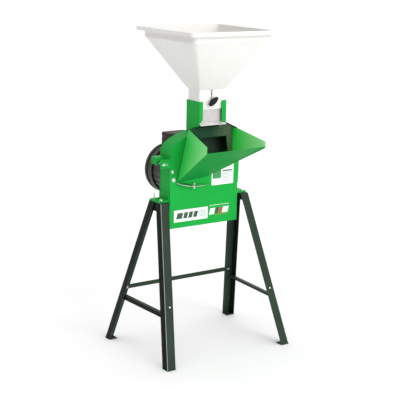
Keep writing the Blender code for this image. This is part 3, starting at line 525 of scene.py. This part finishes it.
def lathe(name, profile, steps=96, centre=(0.0, 0.0, AXIS_Z), axis=(0.0, 1.0, 0.0)):
    """A closed (radius, distance) profile turned about an axis through centre."""
    along = Vector(axis).normalized()
    side = along.orthogonal().normalized()
    other = along.cross(side)
    points, faces, count = [], [], len(profile)
    for k in range(steps):
        angle = math.tau * k / steps
        out = side * math.cos(angle) + other * math.sin(angle)
        points += [Vector(centre) + out * radius + along * distance for radius, distance in profile]
    for k in range(steps):
        for i in range(count):
            a, b = k * count + i, k * count + (i + 1) % count
            c, d = ((k + 1) % steps) * count + (i + 1) % count, ((k + 1) % steps) * count + i
            faces.append((a, b, c, d))
    obj = add(name, points, faces)
    return tidy(obj) if any(radius == 0.0 for radius, _ in profile) else obj


def rod(radius, start, end):
    """A plain rod's profile, for lathe."""
    return [(0.0, start), (radius, start), (radius, end), (0.0, end)]


def tube(name, points, radius, sides, ripple=0.0):
    """A round tube along points, with capped ends; ripple swells it in even waves, like a weld bead."""
    points = [Vector(point) for point in points]
    if ripple:
        fine = []
        for a, b in zip(points, points[1:]):
            steps = max(2, round((b - a).length / (BEAD_PITCH / 4)))
            fine += [a.lerp(b, k / steps) for k in range(steps)]
        points = fine + [points[-1]]
    rings, faces, travelled = [], [], 0.0
    previous = None
    for k, point in enumerate(points):
        ahead = (points[min(k + 1, len(points) - 1)] - points[max(k - 1, 0)]).normalized()
        if previous is None:
            side = ahead.orthogonal().normalized()
        else:
            side = (previous - ahead * previous.dot(ahead)).normalized()
            travelled += (point - points[k - 1]).length
        previous = side
        other = ahead.cross(side)
        r = radius * (1.0 + ripple * math.sin(math.tau * travelled / BEAD_PITCH)) if ripple else radius
        rings += [point + (side * math.cos(math.tau * j / sides) + other * math.sin(math.tau * j / sides)) * r
                  for j in range(sides)]
    for k in range(len(points) - 1):
        for j in range(sides):
            a, b = k * sides + j, k * sides + (j + 1) % sides
            faces.append((a, b, b + sides, a + sides))
    faces += [tuple(range(sides)), tuple(range(len(rings) - sides, len(rings)))]
    return smooth(add(name, rings, faces), 50.0)


def circle(u, v, radius, sides):
    return [(u + radius * math.cos(math.tau * k / sides),
             v + radius * math.sin(math.tau * k / sides)) for k in range(sides)]


def arc(u, v, radius, start, end, steps):
    return [(u + radius * math.cos(start + (end - start) * k / steps),
             v + radius * math.sin(start + (end - start) * k / steps)) for k in range(steps + 1)]


def panel(left, right, low, high, radius=0.0, steps=5):
    """Points round a rectangle, with rounded corners if radius is set."""
    if not radius:
        return [(left, low), (right, low), (right, high), (left, high)]
    points = []
    for quarter, (u, v) in enumerate(((right - radius, high - radius), (left + radius, high - radius),
                                      (left + radius, low + radius), (right - radius, low + radius))):
        points += arc(u, v, radius, quarter * math.pi / 2, (quarter + 1) * math.pi / 2, steps)
    return points


def arch(inset=0.0, base=BASE_Z):
    """The housing's outline in (X, Z), from its lower left corner over the top to its lower right."""
    steps = 22
    shoulder_x = HALF_WIDTH - SHOULDER_RADIUS
    meet = math.atan2(SHOULDER_Z - CROWN_Z, shoulder_x)
    half = ([(HALF_WIDTH - inset, base)]
            + arc(shoulder_x, SHOULDER_Z, SHOULDER_RADIUS - inset, 0.0, meet, steps)
            + arc(0.0, CROWN_Z, CROWN_RADIUS - inset, meet, math.pi / 2, steps)[1:])
    return [(-u, v) for u, v in half[:-1]] + half[::-1]


# ---------------------------------------------------------------- hopper
def rounded_path(points, size, steps):
    """Points along a line whose inner corners are rounded; each point is a tuple of numbers."""
    path = [Vector(points[0])]
    for before, corner, after in zip(points, points[1:], points[2:]):
        before, corner, after = Vector(before), Vector(corner), Vector(after)
        reach = min(size, (corner - before).length * 0.45, (after - corner).length * 0.45)
        start = corner + (before - corner).normalized() * reach
        end = corner + (after - corner).normalized() * reach
        for k in range(steps + 1):
            t = k / steps
            path.append(start * (1 - t) ** 2 + corner * 2 * t * (1 - t) + end * t * t)
    return path + [Vector(points[-1])]


def hopper():
    """Moulded funnel: inner face, rolled rim with its turned-down lip, and outer face, as one closed loft."""
    inside = [(NECK_X, NECK_Y, 0.004, NECK_LOW), (NECK_X, NECK_Y, 0.004, NECK_HIGH),
              (COLLAR_HALF - WALL, COLLAR_HALF - WALL, 0.016, COLLAR_BOTTOM + 0.001),
              (COLLAR_HALF - WALL, COLLAR_HALF - WALL, 0.016, HOPPER_TOP - 0.0005),
              (RIM_HALF, RIM_HALF, 0.022, HOPPER_TOP), (RIM_HALF, RIM_HALF, 0.022, HOPPER_TOP - 0.0147)]
    outside = [(RIM_HALF - 0.0028, RIM_HALF - 0.0028, 0.019, HOPPER_TOP - 0.0147),
               (RIM_HALF - 0.0028, RIM_HALF - 0.0028, 0.019, HOPPER_TOP - WALL),
               (COLLAR_HALF, COLLAR_HALF, 0.019, HOPPER_TOP - WALL),
               (COLLAR_HALF, COLLAR_HALF, 0.019, COLLAR_BOTTOM),
               (NECK_X + WALL, NECK_Y + WALL, 0.007, NECK_HIGH - 0.0015),
               (NECK_X + WALL, NECK_Y + WALL, 0.007, NECK_LOW)]
    rings = rounded_path(inside, 0.0060, 5) + rounded_path(outside, 0.0050, 5)
    points, faces, steps = [], [], 10
    for half_x, half_y, radius, z in rings:
        for quarter, (sx, sy) in enumerate(((1, 1), (-1, 1), (-1, -1), (1, -1))):
            points += [(u, v, z) for u, v in
                       arc(HOPPER_X + sx * (half_x - radius), HOPPER_Y + sy * (half_y - radius), radius,
                           quarter * math.pi / 2, (quarter + 1) * math.pi / 2, steps)]
    count = 4 * (steps + 1)
    for level in range(len(rings)):
        here, above = level * count, (level + 1) % len(rings) * count
        for k in range(count):
            beside = (k + 1) % count
            faces.append((here + k, above + k, above + beside, here + beside))
    obj = add("hopper_moulding", points, faces)
    half = 0.0032
    slot = prism("slot_tool", [arc(SLOT_X, SLOT_LOW + half, half, math.pi, math.tau, 8)
                               + arc(SLOT_X, SLOT_HIGH + 0.008, half, 0.0, math.pi, 8)],
                 "Y", HOPPER_Y - NECK_Y - 0.010, HOPPER_Y - NECK_Y + 0.003)
    cut(obj, [slot])
    for_node(smooth(obj, 32.0), "hopper")


# ---------------------------------------------------------------- fasteners
def hexagon(name, centre, normal, across, height, washer=0.0, stud=0.0, dome=0.0):
    """A chamfered hexagon with, where set, a washer under it and a threaded stud end or a dome on top."""
    centre, normal = Vector(centre), Vector(normal).normalized()
    turn = normal.to_track_quat("Z", "Y").to_matrix().to_4x4()
    place = Matrix.Translation(centre) @ turn
    points, faces = [], []
    base = 0.0012 if washer else 0.0
    rings = [(across * 0.90, base), (across, base + 0.0004),
             (across, height - 0.0010), (across * 0.86, height)]
    for radius, z in rings:
        points += [(u, v, z) for u, v in circle(0.0, 0.0, radius, 6)]
    for level in range(3):
        for k in range(6):
            a, b = level * 6 + k, level * 6 + (k + 1) % 6
            faces.append((a, b, b + 6, a + 6))
    faces += [tuple(range(5, -1, -1)), tuple(range(18, 24))]
    shells = [soften(add(name, points, faces), 0.0003)]
    if washer:
        ring = [(0.0, 0.0), (washer, 0.0), (washer, 0.0009), (washer - 0.0004, 0.0013), (0.0, 0.0013)]
        shells.append(lathe(name + "_washer", ring, 32, ORIGIN, UP))
    if stud:
        rise = [(0.0, height * 0.5), (across * 0.46, height * 0.5)]
        level, ridge = height * 0.5, True
        while level < height + stud - 0.0010:
            rise.append((across * (0.50 if ridge else 0.44), level))
            level += 0.0005
            ridge = not ridge
        rise += [(across * 0.38, height + stud), (0.0, height + stud)]
        shells.append(lathe(name + "_stud", rise, 20, ORIGIN, UP))
    elif dome:
        cap = across * 0.62
        rise = ([(0.0, height - 0.001), (cap, height - 0.001)]
                + [(cap * math.cos(a), height + dome * math.sin(a))
                   for a in [math.pi / 2 * k / 6 for k in range(6)]]
                + [(0.0, height + dome)])
        shells.append(lathe(name + "_dome", rise, 24, ORIGIN, UP))
    for shell in shells:
        settle(shell)
    obj = merge(shells[0], shells[1:])
    obj.data.transform(place)
    return smooth(obj)


def middle(node):
    low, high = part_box(node)
    return (low + high) / 2


def fasteners():
    """Nuts, heads and stud ends of the bracket, brace and lid bolts."""
    for hand in ("left", "right"):
        for place in ("front", "rear"):
            node = f"bracket_bolt_{hand}_{place}"
            low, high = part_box(node)
            x, y = (low.x + high.x) / 2, (low.y + high.y) / 2
            tall = 0.0052
            nut = hexagon(node + "_nut", (x, y, NUT_SEAT), UP, 0.0058, tall, washer=0.0066,
                          stud=high.z - NUT_SEAT - tall - 0.0002)
            head = hexagon(node + "_head", (x, y, HEAD_SEAT), DOWN, 0.0060, 0.0050, washer=0.0066)
            for_node(merge(nut, [head]), node)
        node = f"brace_bolt_front_{hand}"
        lean = Vector((0.0, -1.0, FRONT_LEAN)).normalized()
        centre = middle(node) - lean * 0.0015
        for_node(hexagon(node + "_head", centre, lean, 0.0043, 0.0026, dome=0.0004), node)
        node = f"brace_bolt_rear_{hand}"
        lean = Vector((0.0, -1.0, REAR_LEAN)).normalized()
        centre = middle(node) - lean * 0.0020
        for_node(hexagon(node + "_nut", centre, lean, 0.0058, 0.0038), node)
    for node, across, height, washer in (("lid_bolt_upper", 0.0066, 0.0038, 0.0080),
                                         ("lid_bolt_lower", 0.0072, 0.0048, 0.0086)):
        spot = middle(node)
        seat = (spot.x, LID_FRONT - 0.0001, spot.z)
        for_node(hexagon(node + "_head", seat, FORWARD, across, height, washer=washer), node)


def ledge_bolt():
    """The small bolt through the tab: a head above it, a nut below, and the shank between them."""
    low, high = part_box("ledge_bolt")
    x, y = (low.x + high.x) / 2, (low.y + high.y) / 2
    head = hexagon("ledge_bolt_head", (x, y, high.z - 0.0040), UP, 0.0052, 0.0040)
    nut = hexagon("ledge_nut", (x, y, low.z + 0.0052), DOWN, 0.0050, 0.0042)
    shank = lathe("ledge_shank", rod(0.0022, 0.0, high.z - low.z - 0.002), 20, (x, y, low.z), UP)
    for_node(merge(head, [nut, smooth(shank)]), "ledge_bolt")


# ---------------------------------------------------------------- front lid, housing shell and labels
def housing():
    """Rolled wrap, back plate, lid with its mouth and its ear for the latch, and a dark lining inside as
    painted shade.
    """
    shell, inside = arch(), arch(WRAP_SHEET)
    plate_front = BACK_REAR - BACK_SHEET
    obj = prism("drum_wrap_rolled", [shell + inside[::-1]], "Y", LID_BACK + GAP, plate_front - GAP)
    for_node(soften(obj, 0.0004), "drum_wrap")
    shaft_hole = 0.0205
    obj = prism("back_plate_cut", [arch(), circle(0.0, AXIS_Z, shaft_hole, 48)], "Y", plate_front, BACK_REAR)
    for_node(soften(obj, 0.0008), "back_plate")
    rim = arch()
    ear_x, ear_half, corner = LATCH_X - 0.009, 0.012, 0.005
    ear = ([(-HALF_WIDTH, LATCH_Z - ear_half - corner)]
           + arc(ear_x, LATCH_Z - ear_half, corner, -math.pi / 2, -math.pi, 5)
           + arc(ear_x, LATCH_Z + ear_half, corner, math.pi, math.pi / 2, 5)
           + [(-HALF_WIDTH, LATCH_Z + ear_half + corner)])
    outline = rim[:1] + ear + rim[1:]
    obj = prism("front_lid_cut", [outline, MOUTH, circle(LATCH_X, LATCH_Z, 0.0047, 24)],
                "Y", LID_FRONT, LID_BACK)
    for_node(soften(obj, 0.0007, 3), "front_lid")
    # the dark lining inside the drum is painted shade
    front, inset, thick = 0.03005, WRAP_SHEET + 0.0002, 0.0004
    lining = prism("lining_back", [arch(inset), circle(0.0, AXIS_Z, shaft_hole + 0.0010, 48)],
                   "Y", front, front + thick)
    piece(smooth(lining), SHADE_LINING, "frame", "dark_paint")
    above_knife = 0.728
    ring = arch(inset, above_knife) + arch(inset + thick, above_knife)[::-1]
    lining = prism("lining_shell", [ring], "Y", LID_BACK + 0.0004, 0.0300)
    piece(smooth(lining), SHADE_LINING, "frame", "dark_paint")


def labels():
    """Generic stickers on the lid: plain blocks and bars, with no lettering."""
    front = LID_FRONT

    def sticker(name, outlines, look, lift=0.0, thick=FILM_THICK):
        shell = None
        for outline in outlines:
            part = prism(name, [outline], "Y", front - lift - thick, front - lift)
            shell = part if shell is None else merge(shell, [part])
        piece(smooth(shell), look, "lid", "white_plastic")

    def ink(name, outlines, look):
        sticker(name, outlines, look, FILM_THICK, INK_THICK)

    sticker("notice_label", [panel(0.0335, 0.1375, 0.6395, 0.7230, 0.003)], FILM_WHITE)
    ink("notice_block", [panel(0.0385, 0.0780, 0.6655, 0.7060, 0.0012)], FILM_GREEN)
    ink("notice_heading", [panel(0.0860, 0.1325, 0.6915, 0.6962, 0.0008)], FILM_DARK)
    rows = []
    for k in range(7):
        low = 0.6510 + 0.0058 * k
        rows.append(panel(0.0830, 0.1320 - 0.006 * (k % 3), low, low + 0.0022))
    ink("notice_rows", rows, FILM_GREY)

    def slanted(left, right, low, high, lean=0.006):
        return [(left, low), (right, low), (right + lean, high), (left + lean, high)]

    sticker("name_label", [panel(-0.1390, 0.0180, 0.5105, 0.5575, 0.002)], FILM_WHITE)
    strokes = ((-0.1290, -0.1020), (-0.0970, -0.0790), (-0.0740, -0.0560), (-0.0510, -0.0330))
    ink("name_mark", [slanted(left, right, 0.5225, 0.5460) for left, right in strokes], FILM_DARK)
    ink("name_stripes", [panel(-0.0240 + 0.0056 * k, -0.0212 + 0.0056 * k, 0.5200, 0.5490)
                         for k in range(7)], FILM_GREY)
    sticker("model_sweep", [slanted(0.0245, 0.1175, 0.5585, 0.5602, 0.004),
                            slanted(0.0245, 0.0480, 0.5225, 0.5480), slanted(0.0860, 0.1130, 0.5250, 0.5490)],
            FILM_WHITE)
    sticker("model_mark", [slanted(0.0520, 0.0660, 0.5255, 0.5480)], FILM_DARK)
    sticker("model_flash", [slanted(0.0690, 0.0830, 0.5255, 0.5480),
                            slanted(0.0500, 0.1120, 0.5190, 0.5212, 0.003)], FILM_RED)


# ---------------------------------------------------------------- feed tray
def tray():
    """Folded sheet: four panels with true bends, then the sheet's thickness and broken edges."""
    rear = TRAY_REAR
    corners = [(-0.080, rear, 0.8702), (-0.1263, rear, 0.6706), (0.0006, rear, 0.6793),
               (0.1290, rear, 0.7180), (0.1260, rear, 0.8695),
               (TRAY_HALF, TRAY_LIP_Y, TRAY_LIP_TOP), (TRAY_HALF, TRAY_LIP_Y, TRAY_LIP_LOW),
               (-TRAY_HALF, TRAY_LIP_Y, TRAY_LIP_LOW), (-TRAY_HALF, TRAY_LIP_Y, TRAY_LIP_TOP)]
    obj = add("tray_folded", corners, [(0, 1, 7, 8), (1, 2, 6, 7), (2, 3, 6), (3, 4, 5, 6)])
    shape = bmesh.new()
    shape.from_mesh(obj.data)
    folds = [edge for edge in shape.edges if len(edge.link_faces) == 2]
    bmesh.ops.bevel(shape, geom=folds, offset=0.0030, segments=4, profile=0.5, affect="EDGES",
                    clamp_overlap=True)
    shape.to_mesh(obj.data)
    shape.free()
    wall = obj.modifiers.new("sheet", "SOLIDIFY")
    wall.thickness = 0.0015
    wall.offset = 0.0
    settle(obj)
    low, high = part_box("tray")
    for vertex in obj.data.vertices:             # the sheet's edges are trimmed to the CAD tray's box
        vertex.co = [min(max(value, a), b) for value, a, b in zip(vertex.co, low, high)]
    for_node(soften(obj, 0.00035, 2, 50.0), "tray", TRAY_GREEN_PAINTED_LIGHT)


# ---------------------------------------------------------------- gate knob, latch screw
def knob():
    """Wing knob: a plump lozenge on a round boss, with its stud."""
    wall = HOPPER_Y - NECK_Y - WALL
    centre = (SLOT_X, wall, KNOB_Z)
    tilt, long, wide = math.radians(40), 0.0234, 0.0104
    outline = []
    for angle in [math.tau * k / 40 for k in range(40)]:
        u, v = long * math.cos(angle), wide * math.sin(angle)
        outline.append((SLOT_X + u * math.cos(tilt) - v * math.sin(tilt),
                        KNOB_Z + u * math.sin(tilt) + v * math.cos(tilt)))
    wing = settle(soften(prism("gate_knob_moulded", [outline], "Y", wall - 0.0210, wall - 0.0090), 0.0042, 5))
    boss = lathe("knob_boss", [(0.0, -0.0005), (0.0062, -0.0005), (0.0070, -0.0015), (0.0084, -0.0125),
                               (0.0084, -0.0215), (0.0070, -0.0230), (0.0, -0.0230)], 40, centre)
    stud = lathe("knob_stud", rod(0.0024, 0.0029, -0.0100), 20, centre)
    for_node(smooth(merge(wing, [boss, stud]), 40.0), "gate_knob")


def latch_screw():
    """Captive screw: threaded shank, round collar and a two-lobed wing."""
    x, z = LATCH_X, LATCH_Z
    shank = [(0.0, LID_FRONT - 0.006), (0.0035, LID_FRONT - 0.006)]
    along, ridge = LID_FRONT - 0.002, True
    while along < -0.0004:
        shank.append((0.0035 if ridge else 0.0030, along))
        along += 0.0006
        ridge = not ridge
    shank += [(0.0025, 0.0010), (0.0, 0.0010)]
    thread = lathe("latch_screw_turned", shank[::-1], 20, (x, 0.0, z))
    ring = [(0.0, 0.0003), (0.0070, 0.0003), (0.0075, 0.0008),
            (0.0075, 0.0072), (0.0066, 0.0080), (0.0, 0.0080)]
    collar = lathe("latch_collar", [(r, LID_FRONT - rise) for r, rise in ring], 36, (x, 0.0, z))
    reach, lobe, inner, waist = 0.0085, 0.0049, 0.003, 0.0036
    outline = (arc(x - reach, z, lobe, math.pi / 2, 1.5 * math.pi, 12)
               + [(x - inner, z - waist), (x + inner, z - waist)]
               + arc(x + reach, z, lobe, -math.pi / 2, math.pi / 2, 12)
               + [(x + inner, z + waist), (x - inner, z + waist)])
    wing = prism("latch_wing", [outline], "Y", LID_FRONT - 0.0168, LID_FRONT - 0.0062)
    settle(soften(wing, 0.0018, 3))
    # the screw's green tint is a painted reflection of the lid
    for_node(smooth(merge(thread, [collar, wing]), 40.0), "latch_screw", GREEN_TINTED_ZINC)


# ---------------------------------------------------------------- motor
def motor():
    """Turned end shields, thin-finned frame, pressed fan cover and a lidded switch box."""
    bore = 0.0145
    r = SHIELD_RADIUS
    shield = lathe("front_end_shield_turned", [
        (bore, 0.0338), (r - 0.0015, 0.0338), (r, 0.0350), (r, 0.0515), (r - 0.0015, 0.0529),
        (0.0840, 0.0540), (0.0700, 0.0559), (0.0450, 0.0559), (0.0430, 0.0540), (bore, 0.0540)][::-1])
    for_node(smooth(shield, 30.0), "front_end_shield")
    seat = FRAME_REAR + GAP
    shield = lathe("rear_end_shield_turned", [
        (bore, seat), (r - 0.0010, seat), (r, seat + 0.0010), (r, 0.2262), (r - 0.0008, 0.2270),
        (r - 0.0060, 0.2270), (r - 0.0060, 0.2119), (0.0400, 0.2119), (0.0380, 0.2095), (bore, 0.2095)][::-1])
    for_node(smooth(shield, 30.0), "rear_end_shield")
    fins, root, tip = 24, MOTOR_RADIUS - 0.0030, MOTOR_RADIUS
    flank = [(0.19, tip), (0.25, tip - 0.0005), (0.30, root + 0.0002), (0.42, root)]
    fin = [(-share, radius) for share, radius in flank[::-1]] + [(0.0, tip)] + flank
    outline = []
    for k in range(fins):
        centre = math.tau * k / fins
        for share, radius in fin:
            angle = centre + share * math.tau / fins
            outline.append((radius * math.cos(angle), AXIS_Z + radius * math.sin(angle)))
    body = prism("motor_frame_finned", [outline, circle(0.0, AXIS_Z, 0.066, 64)], "Y", 0.0563, FRAME_REAR)
    for_node(smooth(body, 30.0), "motor_frame")
    for_node(soften(copy_node("fan_cover"), 0.0004), "fan_cover")
    switch_box()


def rounded_box(name, low, high, radius):
    """A box with rounded upright edges and softened top and bottom edges."""
    obj = prism(name, [panel(low.x, high.x, low.y, high.y, radius, 6)], "Z", low.z, high.z)
    return settle(soften(obj, radius * 0.40, 4, 50.0))


def switch_box():
    """Moulded box that sits on the motor's frame, its lid with four sunk screws, and the rocker's pocket."""
    low, high = BOX_LOW, BOX_HIGH
    seam, half_seam, corner = high.z - 0.018, 0.0005, 0.012
    lower = rounded_box("terminal_box_moulded", low, Vector((high.x, high.y, seam - half_seam)), corner)
    saddle = lathe("saddle_tool", rod(MOTOR_RADIUS + GAP, 0.080, 0.190), 128)
    inset = 0.0014
    waist = prism("box_waist", [panel(low.x + inset, high.x - inset, low.y + inset, high.y - inset, 0.011)],
                  "Z", seam - 0.006, seam + 0.006)
    upper = rounded_box("box_lid", Vector((low.x, low.y, seam + half_seam)), high, corner)
    screws = []
    screw = [(0.0, -0.0030), (0.0034, -0.0030), (0.0034, -0.0018), (0.0022, -0.0010), (0.0, -0.0010)]
    reach = 0.013                                # from the box's sides to its screws
    for x in (low.x + reach, high.x - reach):
        for y in (low.y + reach, high.y - reach):
            cut(upper, [lathe("screw_well", rod(0.0042, -0.0030, 0.002), 24, (x, y, high.z), UP)])
            screws.append(lathe("box_screw", screw, 24, (x, y, high.z), UP))
    half_wide, half_tall = 0.0085, 0.0135
    pocket = prism("pocket_tool", [panel(ROCKER_Y - half_wide, ROCKER_Y + half_wide,
                                         ROCKER_Z - half_tall, ROCKER_Z + half_tall, 0.001)],
                   "X", high.x - 0.015, high.x + 0.01)
    cut(lower, [saddle, pocket])
    for_node(smooth(merge(lower, [waist, upper] + screws), 30.0), "terminal_box", BOX_BLACK)


# ---------------------------------------------------------------- stand
def corner_edge(shape, outward):
    """The long edge of a leg that lies furthest along outward."""
    long_edges = [edge for edge in shape.edges if edge.calc_length() > 0.4]
    return max(long_edges, key=lambda edge: sum(vertex.co.dot(outward) for vertex in edge.verts))


def legs():
    """Angle iron with its rolled outer corner, broken edges, and a welded foot plate."""
    for place, end in (("front", -1), ("rear", 1)):
        for hand, side in (("left", -1), ("right", 1)):
            node = f"leg_{place}_{hand}"
            obj = copy_node(node)
            shape = bmesh.new()
            shape.from_mesh(obj.data)
            edge = corner_edge(shape, Vector((side, end, 0.0)))
            bmesh.ops.bevel(shape, geom=[edge], offset=0.0028, segments=5, profile=0.5, affect="EDGES")
            shape.to_mesh(obj.data)
            shape.free()
            for_node(soften(obj, 0.0006, 2, 40.0), node, LEG_DARK)


# ---------------------------------------------------------------- welds
def weld(name, points, radius=0.0016, body="frame"):
    """A rippled bead along points, painted over."""
    piece(tube(name, points, radius, 10, ripple=0.16), GREEN, body, "green_paint")


def welds():
    """Beads at the chute, tray, brackets and shell, and a black tube on the tray's rear sheet as painted
    shade for the dark line along its top edge.
    """
    def crown(x):
        return CROWN_Z + math.sqrt(CROWN_RADIUS ** 2 - x * x)

    for hand, side in (("left", -1), ("right", 1)):
        x = CHUTE_X + side * (CHUTE_HALF + 0.0004)
        weld(f"chute_weld_{hand}", [(x, y, crown(x)) for y in (-0.0340, -0.012, 0.0098)])
    across = [CHUTE_X - 0.0595 + 0.119 * k / 12 for k in range(13)]
    weld("chute_weld_rear", [(x, 0.0104, crown(x)) for x in across])
    seam = TRAY_REAR + 0.0008
    weld("tray_weld_left", [(-0.0806, seam, 0.8680), (-0.1272, seam, 0.6706)], 0.0013, "lid")
    weld("tray_weld_right", [(0.1282, seam, 0.7180), (0.1252, seam, 0.8680)], 0.0013, "lid")
    weld("tray_weld_bottom", [(-0.1255, seam, 0.6698), (0.0006, seam, 0.6785), (0.1285, seam, 0.7170)],
         0.0013, "lid")
    # painted shade: a black tube for the dark shadowed line along the flange's top edge
    shadow_line_path = [(0.0708, seam, 0.8842), (0.0930, seam, 0.8848), (0.1248, seam, 0.8698), (0.1256, -0.0450, 0.8691),
            (0.1268, -0.0690, 0.8656)]
    piece(tube("flange_shadow_line", shadow_line_path, 0.0024, 12), BLACK, "lid", "black_plastic")
    for side, hand in ((-1, "left"), (1, "right")):
        outer_x, edge_x = side * (HALF_WIDTH + 0.0003), side * (HALF_WIDTH - 0.0003)
        weld(f"bracket_weld_{hand}", [(outer_x, y, 0.6285) for y in (-0.0330, 0.0, 0.0310)])
        weld(f"shell_weld_{hand}", [(edge_x, BACK_REAR - 0.0032, z) for z in (0.500, 0.62, 0.75)], 0.0012)


# ---------------------------------------------------------------- everything else, from the CAD
SOFT_WIDTHS = {"chute": 0.0007, "latch_bracket": 0.0008, "bracket_left": 0.0008, "bracket_right": 0.0008,
               "top_rail_left": 0.0007, "top_rail_right": 0.0007, "side_brace_left": 0.0006,
               "side_brace_right": 0.0006, "rear_brace": 0.0006, "rotor_nut": 0.0010,
               "switch_rocker": 0.0003, "cable_gland": 0.0006, "sieve": 0.0002, "counter_knife": 0.0006,
               "knife_1": 0.0002, "knife_2": 0.0002}

# the leg look's painted shade and painted highlight also fall on the rails and braces
# the tray flange's look is painted shade, paler towards +X as painted light
NODE_LOOKS = {"tray_flange": FLANGE_SHADE, "tray_ledge": POLISHED, "gate": GATE_ZINC, "side_brace_left": LEG_DARK,
              "rear_brace": LEG_DARK, "top_rail_left": LEG_DARK, "top_rail_right": LEG_DARK}


def remaining():
    """CAD nodes with the right shape: each gets a copy with broken edges, on its own body."""
    for node in sorted(frame["nodes"]):
        if node not in shown_by_piece:
            for_node(soften(copy_node(node), SOFT_WIDTHS.get(node, 0.0004)), node, NODE_LOOKS.get(node))


# ---------------------------------------------------------------- studio
def studio():
    """Pale floor, a white world that dims towards the left, two lamps, and the photo's camera."""
    steps = 8
    row = steps + 1
    lines = [-FLOOR_REACH + 2 * FLOOR_REACH * k / steps for k in range(row)]
    points = [(x, y, 0.0) for y in lines for x in lines]
    faces = [(j * row + i, j * row + i + 1, (j + 1) * row + i + 1, (j + 1) * row + i)
             for j in range(steps) for i in range(steps)]
    floor = add("studio_floor", points, faces)
    look = Look("pale_floor", Roughness=0.85)
    look.colour(look.tones(look.noise(3.0, 3.0), PLAIN, 0.94, 0.96))
    floor.data.materials.append(look.material)

    scene = bpy.context.scene
    scene.view_settings.view_transform = "Standard"
    world = bpy.data.worlds.new("studio")
    world.use_nodes = True
    tree = world.node_tree
    dark_side = tree.nodes.new("ShaderNodeVectorMath")
    dark_side.operation = "DOT_PRODUCT"
    dark_side.inputs[1].default_value = Vector((-1.0, -0.05, -0.40)).normalized()
    tree.links.new(tree.nodes.new("ShaderNodeTexCoord").outputs["Generated"], dark_side.inputs[0])
    level = tree.nodes.new("ShaderNodeMapRange")
    level.interpolation_type = "SMOOTHSTEP"
    for socket, number in (("From Min", 0.15), ("From Max", 0.80), ("To Min", 1.08), ("To Max", 0.20)):
        level.inputs[socket].default_value = number
    tree.links.new(dark_side.outputs["Value"], level.inputs["Value"])
    tree.links.new(level.outputs["Result"], tree.nodes["Background"].inputs["Strength"])
    tree.nodes["Background"].inputs["Color"].default_value = (1.0, 1.0, 1.0, 1.0)
    scene.world = world

    def lamp(name, towards, energy, spread):
        data = bpy.data.lights.new(name, "SUN")
        data.energy = energy
        data.angle = math.radians(spread)
        obj = bpy.data.objects.new(name, data)
        scene.collection.objects.link(obj)
        direction = Vector(towards).normalized()
        obj.rotation_euler = direction.to_track_quat("Z", "Y").to_euler()
        obj.location = Vector((0.0, 0.0, 0.6)) + Vector(towards)
        return obj

    lamp("key", (0.15, -1.0, 0.35), 1.35, 40)
    fill = lamp("tray_fill", (-0.85, -0.35, 0.45), 2.0, 30)
    lit = bpy.data.collections.new("lit_by_tray_fill")
    for obj in scene.objects:
        if obj.name in ("tray_folded", "tray_flange_finished"):
            lit.objects.link(obj)
    fill.light_linking.receiver_collection = lit

    yaw, pitch, roll = CAMERA_YAW, CAMERA_PITCH, CAMERA_ROLL
    ahead = Vector((math.sin(yaw) * math.cos(pitch), math.cos(yaw) * math.cos(pitch), -math.sin(pitch)))
    right = Vector((math.cos(yaw), -math.sin(yaw), 0.0))
    up = right.cross(ahead)
    across = right * math.cos(roll) + up * math.sin(roll)
    upright = up * math.cos(roll) - right * math.sin(roll)
    data = bpy.data.cameras.new("camera")
    data.lens = LENS
    data.sensor_width = SENSOR
    data.clip_end = 300.0
    camera = bpy.data.objects.new("camera", data)
    scene.collection.objects.link(camera)
    camera.matrix_world = Matrix((across, upright, -ahead)).transposed().to_4x4()
    camera.location = CAMERA_PLACE
    scene.camera = camera


hopper()
fasteners()
ledge_bolt()
housing()
labels()
tray()
knob()
latch_screw()
motor()
legs()
remaining()
welds()
studio()
